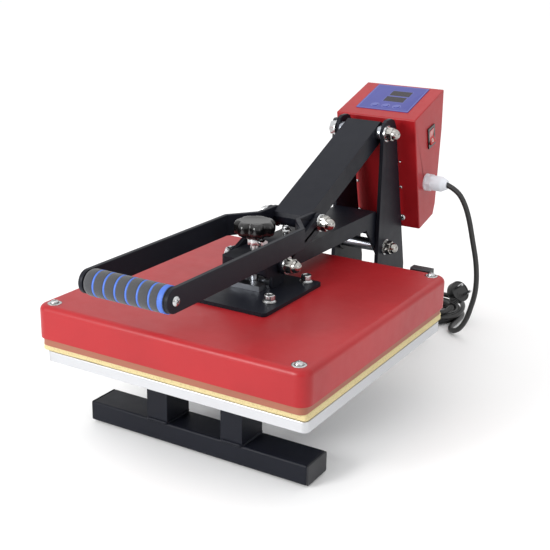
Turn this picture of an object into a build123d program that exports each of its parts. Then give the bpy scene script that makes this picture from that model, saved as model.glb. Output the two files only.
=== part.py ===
from build123d import *
import os
from math import atan2, cos, degrees, hypot, pi, radians, sin, tan

os.makedirs("parts", exist_ok=True)

# A clamshell heat press. Millimetres, +Z up, front of the machine towards -Y.
# The machine is drawn about the middle of its lower table, then moved by MID_Y so that the
# origin is at the middle of its footprint, on the bench.

# ---- driving dimensions -------------------------------------------------------------------
PLATEN = 380.0            # heated face, square
TABLE_Z = 102.0           # underside of the lower table
TABLE_T = 13.6            # lower table thickness
TABLE_SIDE = 382.0
PAD_T = 11.0              # silicone pad thickness
PAD_SIDE = 389.0
PAD_X = -4.0             # and a little to the left
PAD_Y = 4.0               # the pad sits a little back on the table
GAP = 0.3                 # running gap between neighbours that move apart
FOOT_W = 48.0             # foot bar depth
FOOT_Z = 30.0             # top of the foot bars
PAD_FOOT_H = 2.5          # rubber foot height
FRONT_FOOT_HALF = 166.0
REAR_FOOT_HALF = 80.0
FRONT_FOOT_Y = -114.0     # middle of the front foot bar
REAR_FOOT_Y = 376.0
RAIL_IN = 40.6            # inner face of a rail, from the middle plane
RAIL_W = 32.0
RAIL_H = 30.0
SHEET = 6.0               # plate thickness of uprights, handle bars and toggle plates
UPRIGHT_IN = 34.5         # inner face of an upright
BOLT_R = 6.0              # M12 pivot bolts
RUN = 0.05                # radial running clearance on the pivots
TOP_PIVOT = (307.0, 345.0)     # (y, z) of the link's pivot on the uprights
ARM_PIVOT = (322.0, 165.0)     # (y, z) of the arm's pivot on the uprights
KNEE = (107.0, 253.5)          # (y, z) of the pivot between link and toggle plates
ARM_PIN = (17.0, 217.0)        # (y, z) of the pivot between toggle plates and arm
ARM_HALF = 33.5           # half width of the arm channel
LINK_HALF = 27.5          # half width of the link channel
CHANNEL_T = 4.0           # sheet thickness of arm and link channels
HANDLE_Z = 253.5          # middle height of the handle bars
HANDLE_H = 29.0
HANDLE_OUT = 62.0         # outer face of a handle bar
GRIP_Y = -257.0
GRIP_R = 16.0
CORE_R = 11.0
HEAD_Y = -2.6             # middle of the heat head, front to back
COVER_X = 392.0
COVER_Y = 401.4
COVER_Z0 = 137.7
COVER_Z1 = 181.5
COVER_T = 2.0
COVER_R = 16.0
PLATEN_Z0 = TABLE_Z + TABLE_T + PAD_T + GAP
PLATEN_T = 16.0
BASE_T = 5.0              # head mounting plate
ROD_Y = 3.5               # pressure screw, from the middle of the table
LIFT = 5.0                # travel of the pressure screw
BOX_HALF = 67.0           # half width of the control box
BOX_T = 1.6
BOX_FRONT_TOP = (350.5, 361.0)
BOX_FRONT_LOW = (394.0, 181.0)
BOX_BACK_LOW = (446.0, 194.0)
BOX_BACK_MID = (452.5, 211.0)
BOX_BACK_HIGH = (460.0, 333.0)
BOX_BACK_TOP = (458.0, 395.0)
CORD_R = 4.25             # mains lead radius
COIL_MID_R = 46.0         # middle of the coil's turns
COIL_AT = (54.5, 499.0)   # coil centre on the bench
COIL_W = 26.0
COIL_H = 26.0
PLUG_AT = (97.3, 506.3, 46.0)
PLUG_AIM = (0.74, -0.31, 0.60)     # the way the pins point
PIN_SIDE = (0.674, 0.432, -0.606)  # from one pin to the other

MID_Y = (GRIP_Y - GRIP_R + BOX_BACK_HIGH[0]) / 2


# ---- helpers ------------------------------------------------------------------------------
def block(x0, x1, y0, y1, z0, z1):
    """A box between two corners."""
    return Pos((x0 + x1) / 2, (y0 + y1) / 2, (z0 + z1) / 2) * Box(x1 - x0, y1 - y0, z1 - z0)


def bar_x(y, z, r, x0, x1):
    """A round bar along X."""
    return Pos((x0 + x1) / 2, y, z) * Rot(0, 90, 0) * Cylinder(r, x1 - x0)


def bar_z(x, y, r, z0, z1):
    """A round bar along Z."""
    return Pos(x, y, (z0 + z1) / 2) * Cylinder(r, z1 - z0)


def ring_x(y, z, r, hole, x0, x1):
    """A washer or bush along X."""
    return bar_x(y, z, r, x0, x1) - bar_x(y, z, hole, x0 - 1, x1 + 1)


def ring_z(x, y, r, hole, z0, z1):
    """A washer or tube along Z."""
    return bar_z(x, y, r, z0, z1) - bar_z(x, y, hole, z0 - 1, z1 + 1)


def hex_x(y, z, flats, x0, x1):
    """A hexagon along X, given across its flats."""
    face = Plane.YZ.offset(x0) * Pos(y, z) * RegularPolygon(flats / 2, 6, major_radius=False)
    return extrude(face, x1 - x0)


def hex_z(x, y, flats, z0, z1):
    """A hexagon along Z, given across its flats."""
    face = Plane.XY.offset(z0) * Pos(x, y) * RegularPolygon(flats / 2, 6, major_radius=False)
    return extrude(face, z1 - z0)


def side_plate(points, x0, x1):
    """A plate standing in the YZ plane, from its side outline."""
    face = Plane.YZ.offset(x0) * make_face(Polyline(*points, close=True))
    return extrude(face, x1 - x0)


def plan_plate(points, z0, z1):
    """A plate lying flat, from its plan outline."""
    face = Plane.XY.offset(z0) * make_face(Polyline(*points, close=True))
    return extrude(face, z1 - z0)


def slab(width, depth, radius, z0, z1, y=0.0, x=0.0):
    """A flat slab with rounded corners."""
    return extrude(Plane.XY.offset(z0) * Pos(x, y) * RectangleRounded(width, depth, radius), z1 - z0)


def strip(p, q, half, x0, x1):
    """A straight bar of half width half between two pivots, without its round ends."""
    length = hypot(q[0] - p[0], q[1] - p[1])
    side = ((q[1] - p[1]) / length * half, -(q[0] - p[0]) / length * half)
    corners = [
        (p[0] + side[0], p[1] + side[1]),
        (q[0] + side[0], q[1] + side[1]),
        (q[0] - side[0], q[1] - side[1]),
        (p[0] - side[0], p[1] - side[1]),
    ]
    return side_plate(corners, x0, x1)


def cap_nut_x(y, z, x0):
    """An M12 domed cap nut seated at x0, opening towards -X."""
    flats = 19.0
    body = hex_x(y, z, flats, x0, x0 + 9.5)
    dome = bar_x(y, z, 8.6, x0 + 9.5, x0 + 11.0) + Pos(x0 + 11.0, y, z) * Sphere(8.6)
    dome = dome & block(x0 + 9.5, x0 + 40.0, y - 20, y + 20, z - 20, z + 20)
    return body + dome - bar_x(y, z, BOLT_R, x0 - 1, x0 + 13.0)


def save(name, *solids):
    """Write one node, moved so that the footprint's middle is the origin."""
    pieces = []
    for shape in solids:
        pieces += list(shape.solids())
    export_step(Pos(0, -MID_Y, 0) * Compound(children=pieces), "parts/" + name + ".step")


def both(make):
    """The same piece on the left and on the right, mirrored."""
    right = make()
    return [right, mirror(right, Plane.YZ)]


# ---- base frame ---------------------------------------------------------------------------
def foot_bar(half, y):
    """A rectangular tube across the machine, open at its ends."""
    wall = 2.0
    outer = slab(2 * half, FOOT_W, 1.0, PAD_FOOT_H, FOOT_Z, y)
    long_edges = outer.edges().filter_by(Axis.X)
    outer = fillet(long_edges, 3.0)
    inner = block(-half - 1, half + 1, y - FOOT_W / 2 + wall, y + FOOT_W / 2 - wall,
                  PAD_FOOT_H + wall, FOOT_Z - wall)
    return outer - inner


def foot_cap(half, y, side):
    """A plastic plug that closes one end of a foot bar."""
    flange = 2.0
    z_mid = (PAD_FOOT_H + FOOT_Z) / 2
    face = block(0, flange, y - FOOT_W / 2, y + FOOT_W / 2, PAD_FOOT_H, FOOT_Z)
    face = fillet(face.edges().filter_by(Axis.X), 3.0)
    face = fillet(face.faces().sort_by(Axis.X)[-1].edges(), 1.5)
    stem = block(-12.0, 0, y - FOOT_W / 2 + 2.2, y + FOOT_W / 2 - 2.2, PAD_FOOT_H + 2.2, FOOT_Z - 2.2)
    hollow = block(-13.0, -1.5, y - FOOT_W / 2 + 4.5, y + FOOT_W / 2 - 4.5, z_mid - 9, z_mid + 9)
    cap = Pos(half, 0, 0) * (face + stem - hollow)
    return cap if side > 0 else mirror(cap, Plane.YZ)


def rect_tube(x0, x1, y0, y1, z0, z1, axis, wall=2.5):
    """A rectangular tube with its hollow along one axis."""
    grow = {"x": (1, -wall, -wall), "y": (-wall, 1, -wall), "z": (-wall, -wall, 1)}[axis]
    inner = block(x0 - grow[0], x1 + grow[0], y0 - grow[1], y1 + grow[1], z0 - grow[2], z1 + grow[2])
    return block(x0, x1, y0, y1, z0, z1) - inner


def build_base():
    cap = 2.0
    save("foot_bars", foot_bar(FRONT_FOOT_HALF - cap, FRONT_FOOT_Y), foot_bar(REAR_FOOT_HALF - cap, REAR_FOOT_Y))
    caps = []
    pads = []
    for half, y, inset in ((FRONT_FOOT_HALF, FRONT_FOOT_Y, 26.0), (REAR_FOOT_HALF, REAR_FOOT_Y, 20.0)):
        for side in (-1, 1):
            caps.append(foot_cap(half - cap, y, side))
            pads.append(bar_z(side * (half - inset), y, 15.0, 0.0, PAD_FOOT_H))
    save("foot_caps", *caps)
    save("foot_pads", *pads)
    front = FRONT_FOOT_Y + FOOT_W / 2
    rear = REAR_FOOT_Y - FOOT_W / 2
    rail_out = RAIL_IN + RAIL_W
    posts = []
    for y in (FRONT_FOOT_Y, REAR_FOOT_Y):
        posts += both(lambda: rect_tube(RAIL_IN, rail_out, y - FOOT_W / 2, y + FOOT_W / 2, FOOT_Z, TABLE_Z, "z"))
    save("table_posts", *posts)
    rails = both(lambda: rect_tube(RAIL_IN, rail_out, front, rear, TABLE_Z - RAIL_H, TABLE_Z, "y"))
    save("table_rails", *rails)


# ---- uprights and fixed pivots ------------------------------------------------------------
def upright():
    """The right upright: straight front edge, sloping rear edge, rounded top."""
    front = 299.0
    foot = REAR_FOOT_Y + FOOT_W / 2
    low = TABLE_Z - RAIL_H
    outline = [(front, low), (foot, low), (foot, 118.0), (341.5, 352.0), (334.0, 361.5),
               (325.0, 364.5), (311.0, 364.5), (302.5, 361.0), (front, 353.0)]
    plate = side_plate(outline, UPRIGHT_IN, UPRIGHT_IN + SHEET)
    for y, z in (TOP_PIVOT, ARM_PIVOT):
        plate -= bar_x(y, z, BOLT_R + RUN, 0, 60)
    return plate


def box_front(z):
    """The y of the control box's sloping front at height z."""
    (y0, z0), (y1, z1) = BOX_FRONT_TOP, BOX_FRONT_LOW
    return y0 + (z0 - z) * (y1 - y0) / (z0 - z1)


def support_bar(z_mid, half, into):
    """A bar between the uprights that carries the control box."""
    high = z_mid + half
    low = z_mid - half
    outline = [(box_front(low) - 0.1, low), (box_front(high) - 0.1, high),
               (box_front(high) - into, high), (box_front(low) - into, low)]
    return side_plate(outline, -UPRIGHT_IN, UPRIGHT_IN)


def build_uprights():
    right = upright()
    save("uprights", right, mirror(right, Plane.YZ))
    lower = block(-UPRIGHT_IN, UPRIGHT_IN, 299.0, 305.0, TABLE_Z - RAIL_H, 138.0)
    save("cross_plates", lower, support_bar(186.0, 4.5, 18.0), support_bar(338.0, 8.0, 14.0))
    washer = 2.5
    outer = UPRIGHT_IN + SHEET
    bolts = []
    washers = []
    nuts = []
    for y, z in (TOP_PIVOT, ARM_PIVOT):
        shank = bar_x(y, z, BOLT_R, -outer - washer, outer + washer + 12.0)
        bolts.append(shank + hex_x(y, z, 19.0, -outer - washer - 7.5, -outer - washer))
        washers += both(lambda: ring_x(y, z, 12.0, BOLT_R + RUN, outer, outer + washer))
        nuts.append(cap_nut_x(y, z, outer + washer))
    washers += both(lambda: ring_x(*ARM_PIVOT, 13.0, BOLT_R + RUN, ARM_HALF + GAP, UPRIGHT_IN))
    save("axle_bolts", *bolts)
    save("axle_washers", *washers)
    save("axle_cap_nuts", *nuts)
    save("link_bushes", *both(lambda: ring_x(*TOP_PIVOT, 10.5, BOLT_R + RUN, LINK_HALF + GAP, UPRIGHT_IN)))


# ---- lower table --------------------------------------------------------------------------
def build_table():
    table = slab(TABLE_SIDE, TABLE_SIDE, 7.0, TABLE_Z, TABLE_Z + TABLE_T)
    table = fillet(table.edges().group_by(Axis.Z)[-1], 1.2)
    save("lower_table", table)
    pad = slab(PAD_SIDE, PAD_SIDE, 5.0, TABLE_Z + TABLE_T, TABLE_Z + TABLE_T + PAD_T, PAD_Y, PAD_X)
    save("silicone_pad", pad)


# ---- arm ----------------------------------------------------------------------------------
def arm_channel():
    """An inverted channel from its rounded nose to the pivot behind the table."""
    outline = [(-28.0, 229.0), (298.0, 226.0), (324.0, 205.0), (338.0, 168.0), (333.3, 153.7),
               (322.0, 149.0), (310.7, 155.1), (269.7, 202.0), (0.0, 204.5), (-18.0, 206.5), (-28.0, 214.0)]
    t = CHANNEL_T
    hollow = [(-28.0 + t, 229.0 - t), (296.5, 226.0 - t), (320.5, 203.0), (330.0, 178.0), (350.0, 178.0),
              (350.0, 140.0), (200.0, 140.0), (-28.0 + t, 190.0)]
    channel = side_plate(outline, -ARM_HALF, ARM_HALF) & slab(2 * ARM_HALF, 456.0, 8.0, 100.0, 300.0, 200.0)
    channel -= side_plate(hollow, -ARM_HALF + t, ARM_HALF - t)
    for y, z in (ARM_PIVOT, ARM_PIN):
        channel -= bar_x(y, z, BOLT_R + RUN, -60, 60)
    channel -= bar_z(0, ROD_Y, BOLT_R + 0.6, 190, 250)
    channel -= bar_z(0, STOP_Y, 4.0, 190, 250)
    return channel


STOP_Y = 84.0             # over-centre stop bolt on the arm
WEB_Z = 225.0             # underside of the arm's web, near its nose


def build_arm():
    save("arm_channel", arm_channel())
    tube = ring_x(*ARM_PIVOT, 9.5, BOLT_R + RUN, -ARM_HALF + CHANNEL_T, ARM_HALF - CHANNEL_T)
    save("arm_hub", tube)
    nut = block(-12, 12, ROD_Y - 12, ROD_Y + 12, 210.0, WEB_Z - 0.7)
    nut -= bar_x(*ARM_PIN, BOLT_R + 0.5, -20, 20)
    save("pressure_nut_block", nut - bar_z(0, ROD_Y, BOLT_R + RUN, 190, 250))
    bolt = bar_z(0, STOP_Y, 4.0, 214.0, 241.0)
    bolt += bar_z(0, STOP_Y, 8.0, 240.5, 242.0)
    bolt += hex_z(0, STOP_Y, 11.0, 242.0, 247.6)
    nut = hex_z(0, STOP_Y, 13.0, 217.4, 223.8) - bar_z(0, STOP_Y, 4.0, 200, 250)
    save("stop_bolt", bolt, nut)


# ---- heat head ----------------------------------------------------------------------------
def platen_cover():
    """A pressed steel lid, open below, with rounded corners and a rounded top edge."""
    outer = slab(COVER_X, COVER_Y, COVER_R, COVER_Z0, COVER_Z1, HEAD_Y)
    outer = fillet(outer.edges().group_by(Axis.Z)[-1], 8.0)
    inner = slab(COVER_X - 2 * COVER_T, COVER_Y - 2 * COVER_T, COVER_R - COVER_T, COVER_Z0 - 1,
                 COVER_Z1 - COVER_T, HEAD_Y)
    inner = fillet(inner.edges().group_by(Axis.Z)[-1], 6.0)
    lid = outer - inner
    for x, y in COVER_SCREWS:
        lid -= bar_z(x, y, 3.3, 170, 190)
    for x, y in PLATE_BOLTS:
        lid -= bar_z(x, y, 4.5, 170, 190)
    return lid


COVER_SCREWS = [(sx * 177.0, y) for sx in (-1, 1) for y in (-187.0, 182.0)]
PLATE_BOLTS = [(sx * 52.6, y) for sx in (-1, 1) for y in (-45.0, 50.0)]


def heating_loop():
    """A tubular heater that winds back and forth across the platen."""
    reach = 150.0
    pitch = 60.0
    top = PLATEN_Z0 + PLATEN_T + 3.2
    rows = [-150.0 + pitch * i for i in range(6)]
    solids = [bar_x(HEAD_Y + y, top, 3.0, -reach, reach) for y in rows]
    loop = solids[0]
    for piece in solids[1:]:
        loop += piece
    for i in range(5):
        side = reach if i % 2 == 0 else -reach
        y_mid = HEAD_Y + (rows[i] + rows[i + 1]) / 2
        ring = Pos(side, y_mid, top) * Torus(pitch / 2, 3.0)
        far = block(side, side + 60, y_mid - 60, y_mid + 60, top - 9, top + 9)
        near = block(side - 60, side, y_mid - 60, y_mid + 60, top - 9, top + 9)
        loop += ring & (far if side > 0 else near)
    return loop


def guide_fork():
    """Two forked ears on the head that straddle the arm pin and keep the head square."""
    base_top = COVER_Z1 + BASE_T
    y, z = ARM_PIN
    ear = block(24.0, 28.5, y - 15.0, y + 15.0, base_top, z + 2.0)
    ear -= block(20.0, 32.0, y - BOLT_R - 0.15, y + BOLT_R + 0.15, z - BOLT_R - LIFT - 1.0, z + 20)
    return ear


def build_head():
    platen = slab(PLATEN + 4.0, PLATEN + 13.8, 10.0, PLATEN_Z0, PLATEN_Z0 + PLATEN_T, HEAD_Y)
    platen = fillet(platen.edges().group_by(Axis.Z)[0], 1.0)
    save("heat_platen", platen)
    save("heating_element", heating_loop())
    wool_z = PLATEN_Z0 + PLATEN_T + 6.5
    wool = slab(330.0, 340.0, 6.0, wool_z, COVER_Z1 - COVER_T - 4.0, HEAD_Y)
    for x, y in PLATE_BOLTS:
        wool -= bar_z(x, y, 8.0, 100, 200)
    save("insulation", wool)
    save("platen_cover", platen_cover())
    screws = []
    standoffs = []
    platen_top = PLATEN_Z0 + PLATEN_T
    for x, y in COVER_SCREWS:
        head = bar_z(x, y, 9.0, COVER_Z1, COVER_Z1 + 1.0) + bar_z(x, y, 5.5, COVER_Z1 + 1.0, COVER_Z1 + 4.0)
        screws.append(head + bar_z(x, y, 3.0, COVER_Z1 - 14.0, COVER_Z1))
        standoffs.append(ring_z(x, y, 4.2, 3.0, platen_top, COVER_Z1 - COVER_T - 0.15))
    for x, y in PLATE_BOLTS:
        standoffs.append(ring_z(x, y, 7.5, 4.1, platen_top, COVER_Z1 - COVER_T))
    save("cover_screws", *screws)
    save("head_standoffs", *standoffs)
    base_top = COVER_Z1 + BASE_T
    base = slab(141.2, 147.0, 6.0, COVER_Z1, base_top, -11.5)
    bolts = []
    for x, y in PLATE_BOLTS:
        base -= bar_z(x, y, 4.2, 150, 250)
        bolt = bar_z(x, y, 9.0, base_top, base_top + 2.6) + hex_z(x, y, 13.0, base_top + 2.6, base_top + 10.4)
        bolts.append(bolt + bar_z(x, y, 4.0, platen_top + 1.0, base_top))
    save("base_plate", base)
    save("plate_bolts", *bolts)
    save("guide_fork", *both(guide_fork))
    keeper_top = base_top + 7.0
    pocket = bar_z(0, ROD_Y, 10.3, base_top - 1, base_top + 3.9) + bar_z(0, ROD_Y, BOLT_R + 0.3, 100, 300)
    front = block(-22, 22, -20.0, -2.8, base_top, keeper_top) - pocket
    rear = block(-22, 22, 9.8, 25.0, base_top, keeper_top) - pocket
    save("rod_keepers", front, rear)
    save("thermostat", bar_z(100.0, 57.4, 9.0, platen_top, platen_top + 5.0))
    inlet = block(138.0, 168.0, COVER_Y / 2 + HEAD_Y, COVER_Y / 2 + HEAD_Y + 15.0, 160.0, 183.0)
    save("heater_inlet", fillet(inlet.edges().filter_by(Axis.X), 2.0))


# ---- pressure screw -----------------------------------------------------------------------
def star_knob():
    """A seven-lobed knob with a shallow domed top."""
    z0, z1 = 251.0, 274.5
    lobes = 7
    body = bar_z(0, ROD_Y, 23.5, z0 + 4, z1)
    for i in range(lobes):
        turn = 2 * pi * i / lobes
        body += bar_z(20.8 * cos(turn), ROD_Y + 20.8 * sin(turn), 7.2, z0 + 4, z1)
    for i in range(lobes):
        turn = 2 * pi * (i + 0.5) / lobes
        body -= bar_z(30.0 * cos(turn), ROD_Y + 30.0 * sin(turn), 7.6, z0 - 1, z1 + 1)
    dome = Pos(0, ROD_Y, z1 - 92.0) * Sphere(92.0)
    body = body & dome
    body += bar_z(0, ROD_Y, 12.0, z0, z0 + 5)
    return body - bar_z(0, ROD_Y, BOLT_R, z0 - 1, z1 - 8)


def build_pressure_screw():
    save("pressure_knob", star_knob())
    base_top = COVER_Z1 + BASE_T
    rod = bar_z(0, ROD_Y, BOLT_R, base_top + 0.3, 266.0)
    rod += bar_z(0, ROD_Y, 10.0, base_top + 0.3, base_top + 3.6)
    save("pressure_rod", rod)
    collar = ring_z(0, ROD_Y, 9.5, BOLT_R, 242.0, 250.5)
    aim = Pos(0, ROD_Y, 246.2) * Rot(0, 0, -12)
    screw = aim * Rot(0, 90, 0) * Pos(0, 0, 10.5) * Cylinder(2.5, 6.0)
    head = aim * Rot(0, 90, 0) * Pos(0, 0, 15.0) * extrude(RegularPolygon(4.3, 6, major_radius=False), 4.0)
    save("rod_collar", collar + screw + head)


# ---- lever: link, handle bars and grip ----------------------------------------------------
LINK_LEN = hypot(TOP_PIVOT[0] - KNEE[0], TOP_PIVOT[1] - KNEE[1])
LINK_DIR = ((KNEE[0] - TOP_PIVOT[0]) / LINK_LEN, (KNEE[1] - TOP_PIVOT[1]) / LINK_LEN)


def on_link(along, up):
    """A (y, z) point given along the link from its top pivot, and square to it."""
    dy, dz = LINK_DIR
    return (TOP_PIVOT[0] + dy * along + dz * up, TOP_PIVOT[1] + dz * along - dy * up)


def link_channel():
    """An inverted channel whose web is bent down behind the stop bolt."""
    outline = [on_link(u, v) for u, v in (
        (-12, 12), (226, 12), (230, 7), (231, -2), (229, -12), (214, -15), (12, -18), (-4, -18), (-14, -12),
        (-19, -3), (-18, 6))]
    t = CHANNEL_T
    hollow = [on_link(u, v) for u, v in (
        (-30, 12 - t), (223.5, 12 - t), (227, 5), (228, -2), (227, -8), (240, -8), (240, -40), (-30, -40))]
    channel = side_plate(outline, -LINK_HALF, LINK_HALF)
    channel -= side_plate(hollow, -LINK_HALF + t, LINK_HALF - t)
    for y, z in (TOP_PIVOT, KNEE):
        channel -= bar_x(y, z, BOLT_R + RUN, -60, 60)
    return channel


def handle_bar():
    """The right bar: straight from the grip, stepped inwards, then welded to the link's side."""
    inner = HANDLE_OUT - SHEET
    ear_in = LINK_HALF
    ear_out = LINK_HALF + SHEET
    top = HANDLE_Z + HANDLE_H / 2
    low = HANDLE_Z - HANDLE_H / 2
    plan = [(inner, GRIP_Y - 20), (inner, 23), (ear_in, 61), (ear_in, 125), (ear_out, 125), (ear_out, 64),
            (HANDLE_OUT, 26), (HANDLE_OUT, GRIP_Y - 20)]
    side = [(GRIP_Y, low), (36, low), (40, low + 2.5), (66, low + 12.5), (69, low + 12.5), (80, low + 2),
            (KNEE[0], KNEE[1] - 14), (KNEE[0], KNEE[1] + 14), (60, top), (GRIP_Y, top)]
    profile = side_plate(side, 0, 90)
    profile += bar_x(GRIP_Y, HANDLE_Z, HANDLE_H / 2, 0, 90)
    profile += bar_x(*KNEE, 14.0, 0, 90)
    bar = plan_plate(plan, low - 20, top + 20) & profile
    bar -= bar_x(*KNEE, BOLT_R + RUN, 0, 90)
    return bar - bar_x(GRIP_Y, HANDLE_Z, 3.1, 0, 90)


def build_lever():
    save("link_channel", link_channel())
    right = handle_bar()
    save("handle_bars", right, mirror(right, Plane.YZ))
    ear_out = LINK_HALF + SHEET
    pin = bar_x(*KNEE, BOLT_R, -ear_out - 0.2, ear_out + 0.2)
    hub = ring_x(*TOP_PIVOT, 7.5, BOLT_R + RUN, -LINK_HALF + CHANNEL_T, LINK_HALF - CHANNEL_T)
    save("link_tubes", pin, hub)
    inner = HANDLE_OUT - SHEET
    core = ring_x(GRIP_Y, HANDLE_Z, CORE_R, 3.0, -inner, inner)
    save("grip_core", core)
    save("foam_grip", ring_x(GRIP_Y, HANDLE_Z, GRIP_R, CORE_R, -inner + 0.5, inner - 0.5))
    screws = both(lambda: bar_x(GRIP_Y, HANDLE_Z, 3.0, inner - 12.0, HANDLE_OUT)
                  + bar_x(GRIP_Y, HANDLE_Z, 6.0, HANDLE_OUT, HANDLE_OUT + 3.6))
    save("grip_screws", *screws)


# ---- toggle plates ------------------------------------------------------------------------
def toggle_plate():
    """The right toggle plate, from the arm pin to the knee."""
    x0 = UPRIGHT_IN
    x1 = UPRIGHT_IN + SHEET
    plate = strip(ARM_PIN, KNEE, 11.5, x0, x1)
    for y, z in (ARM_PIN, KNEE):
        plate += bar_x(y, z, 13.0, x0, x1)
    for y, z in (ARM_PIN, KNEE):
        plate -= bar_x(y, z, BOLT_R, x0 - 1, x1 + 1)
    return plate


def build_toggle():
    save("toggle_plates", *both(toggle_plate))
    outer = UPRIGHT_IN + SHEET
    washer = 2.5
    head = -outer - washer
    arm_pin = bar_x(*ARM_PIN, BOLT_R, head, outer + washer + 12.0) + hex_x(*ARM_PIN, 19.0, head - 7.5, head)
    knee_left = bar_x(*KNEE, BOLT_R, head, -UPRIGHT_IN) + hex_x(*KNEE, 19.0, head - 7.5, head)
    knee_right = bar_x(*KNEE, BOLT_R, UPRIGHT_IN, outer + washer + 12.0)
    save("toggle_bolts", arm_pin, knee_left, knee_right)
    rings = []
    for y, z in (ARM_PIN, KNEE):
        rings += both(lambda: ring_x(y, z, 12.0, BOLT_R, outer, outer + washer))
    rings += both(lambda: ring_x(*ARM_PIN, 11.0, BOLT_R, ARM_HALF + GAP, UPRIGHT_IN))
    save("toggle_washers", *rings)
    save("toggle_cap_nuts", *[cap_nut_x(y, z, outer + washer) for y, z in (ARM_PIN, KNEE)])


# ---- control box --------------------------------------------------------------------------
TOP_SLOPE = atan2(BOX_BACK_TOP[1] - BOX_FRONT_TOP[1], BOX_BACK_TOP[0] - BOX_FRONT_TOP[0])
FRONT_SLOPE = atan2(BOX_FRONT_LOW[0] - BOX_FRONT_TOP[0], BOX_FRONT_TOP[1] - BOX_FRONT_LOW[1])


def on_top(x, along, up):
    """A place on the sloping top, measured from its front edge, turned to lie on it."""
    y = BOX_FRONT_TOP[0] + along * cos(TOP_SLOPE) - up * sin(TOP_SLOPE)
    z = BOX_FRONT_TOP[1] + along * sin(TOP_SLOPE) + up * cos(TOP_SLOPE)
    return Pos(x, y, z) * Rot(degrees(TOP_SLOPE), 0, 0)


def on_front(x, z, out):
    """A place on the sloping front, turned so that its Z points out of the box."""
    return Pos(x, box_front(z), z) * Rot(90 + degrees(FRONT_SLOPE), 0, 0) * Pos(0, 0, out)


WINDOWS = [(7.5, 81.0, 34.0, 17.0), (6.0, 60.5, 34.0, 17.0)]
KEYS = [(-17.5, 37.0), (1.0, 37.0), (19.5, 37.0)]
SWITCH_AT = (416.5, 327.0)
GLAND_AT = (409.0, 255.0)
SIDE_SCREWS = [(38.5, 197.0, 5.2, 3.0), (38.0, 249.0, 2.4, 1.4)]


def box_outline():
    return [BOX_FRONT_TOP, BOX_BACK_TOP, BOX_BACK_HIGH, BOX_BACK_MID, BOX_BACK_LOW, BOX_FRONT_LOW]


def on_front_or_top(p):
    """Whether a point lies along the box's front or top, seen from the side."""
    fy, fz = BOX_FRONT_TOP
    off_front = (p.Y - fy) * cos(FRONT_SLOPE) + (p.Z - fz) * sin(FRONT_SLOPE)
    off_top = (p.Z - fz) * cos(TOP_SLOPE) - (p.Y - fy) * sin(TOP_SLOPE)
    return abs(off_front) < 1.2 or abs(off_top) < 1.2


def box_shell():
    """Front, top and sides folded from one sheet; open at the back and below."""
    t = BOX_T
    fy, fz = BOX_FRONT_TOP
    ly, lz = BOX_FRONT_LOW
    by, bz = BOX_BACK_TOP
    shell = side_plate(box_outline(), -BOX_HALF, BOX_HALF)
    fold = shell.edges().filter_by(Axis.X).filter_by_position(Axis.Z, fz - 1, fz + 1)
    shell = fillet(fold, 2.5)
    seams = [e for e in shell.edges() if abs(abs(e.center().X) - BOX_HALF) < 0.01 and on_front_or_top(e.center())]
    shell = fillet(seams, 1.8)
    inner = [(fy + t * 1.2, fz - t), (by + 20, bz + 6.3 - t * 1.05), (by + 20, 150), (ly + t * 1.05 + 7.5, 150.0)]
    shell -= side_plate(inner, -BOX_HALF + t, BOX_HALF - t)
    for x, along, w, h in WINDOWS:
        shell -= on_top(x, along, 0) * Box(w, h, 8)
    for x, along in KEYS:
        shell -= on_top(x, along, 0) * Cylinder(3.2, 8)
    turn = Pos(BOX_HALF, *SWITCH_AT) * Rot(degrees(FRONT_SLOPE), 0, 0)
    shell -= turn * Box(10, 21.0, 29.0)
    shell -= bar_x(*GLAND_AT, 8.1, BOX_HALF - 5, BOX_HALF + 5)
    for x, z, head, _ in SIDE_SCREWS:
        for side in (-1, 1):
            shell -= on_front(side * x, z, 0) * Cylinder(head / 2, 10)
    for side in (-1, 1):
        shell -= on_front(side * 38.0, 292.0, 0) * Cylinder(1.8, 10)
    return shell


def box_back():
    """The rear cover, folded under the box, set between its sides."""
    t = BOX_T
    half = BOX_HALF - t - 0.2
    outer = [BOX_BACK_TOP, BOX_BACK_HIGH, BOX_BACK_MID, BOX_BACK_LOW, BOX_FRONT_LOW]
    inner = [(BOX_FRONT_LOW[0] + 2.0, BOX_FRONT_LOW[1] + t * 1.6), (BOX_BACK_LOW[0] - t, BOX_BACK_LOW[1] + t),
             (BOX_BACK_MID[0] - t, BOX_BACK_MID[1]), (BOX_BACK_HIGH[0] - t, BOX_BACK_HIGH[1]),
             (BOX_BACK_TOP[0] - t, BOX_BACK_TOP[1] - 2.3)]
    top = (BOX_BACK_TOP[0], BOX_BACK_TOP[1] - 2.0)
    low = (BOX_FRONT_LOW[0] + 2.0, BOX_FRONT_LOW[1] + 0.55)
    panel = side_plate([top] + outer[1:4] + [low] + inner, -half, half)
    for i in range(6):
        z = 250.0 + 9.0 * i
        panel -= block(-36.0, 36.0, 440.0, 470.0, z, z + 3.0)
    return panel


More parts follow.
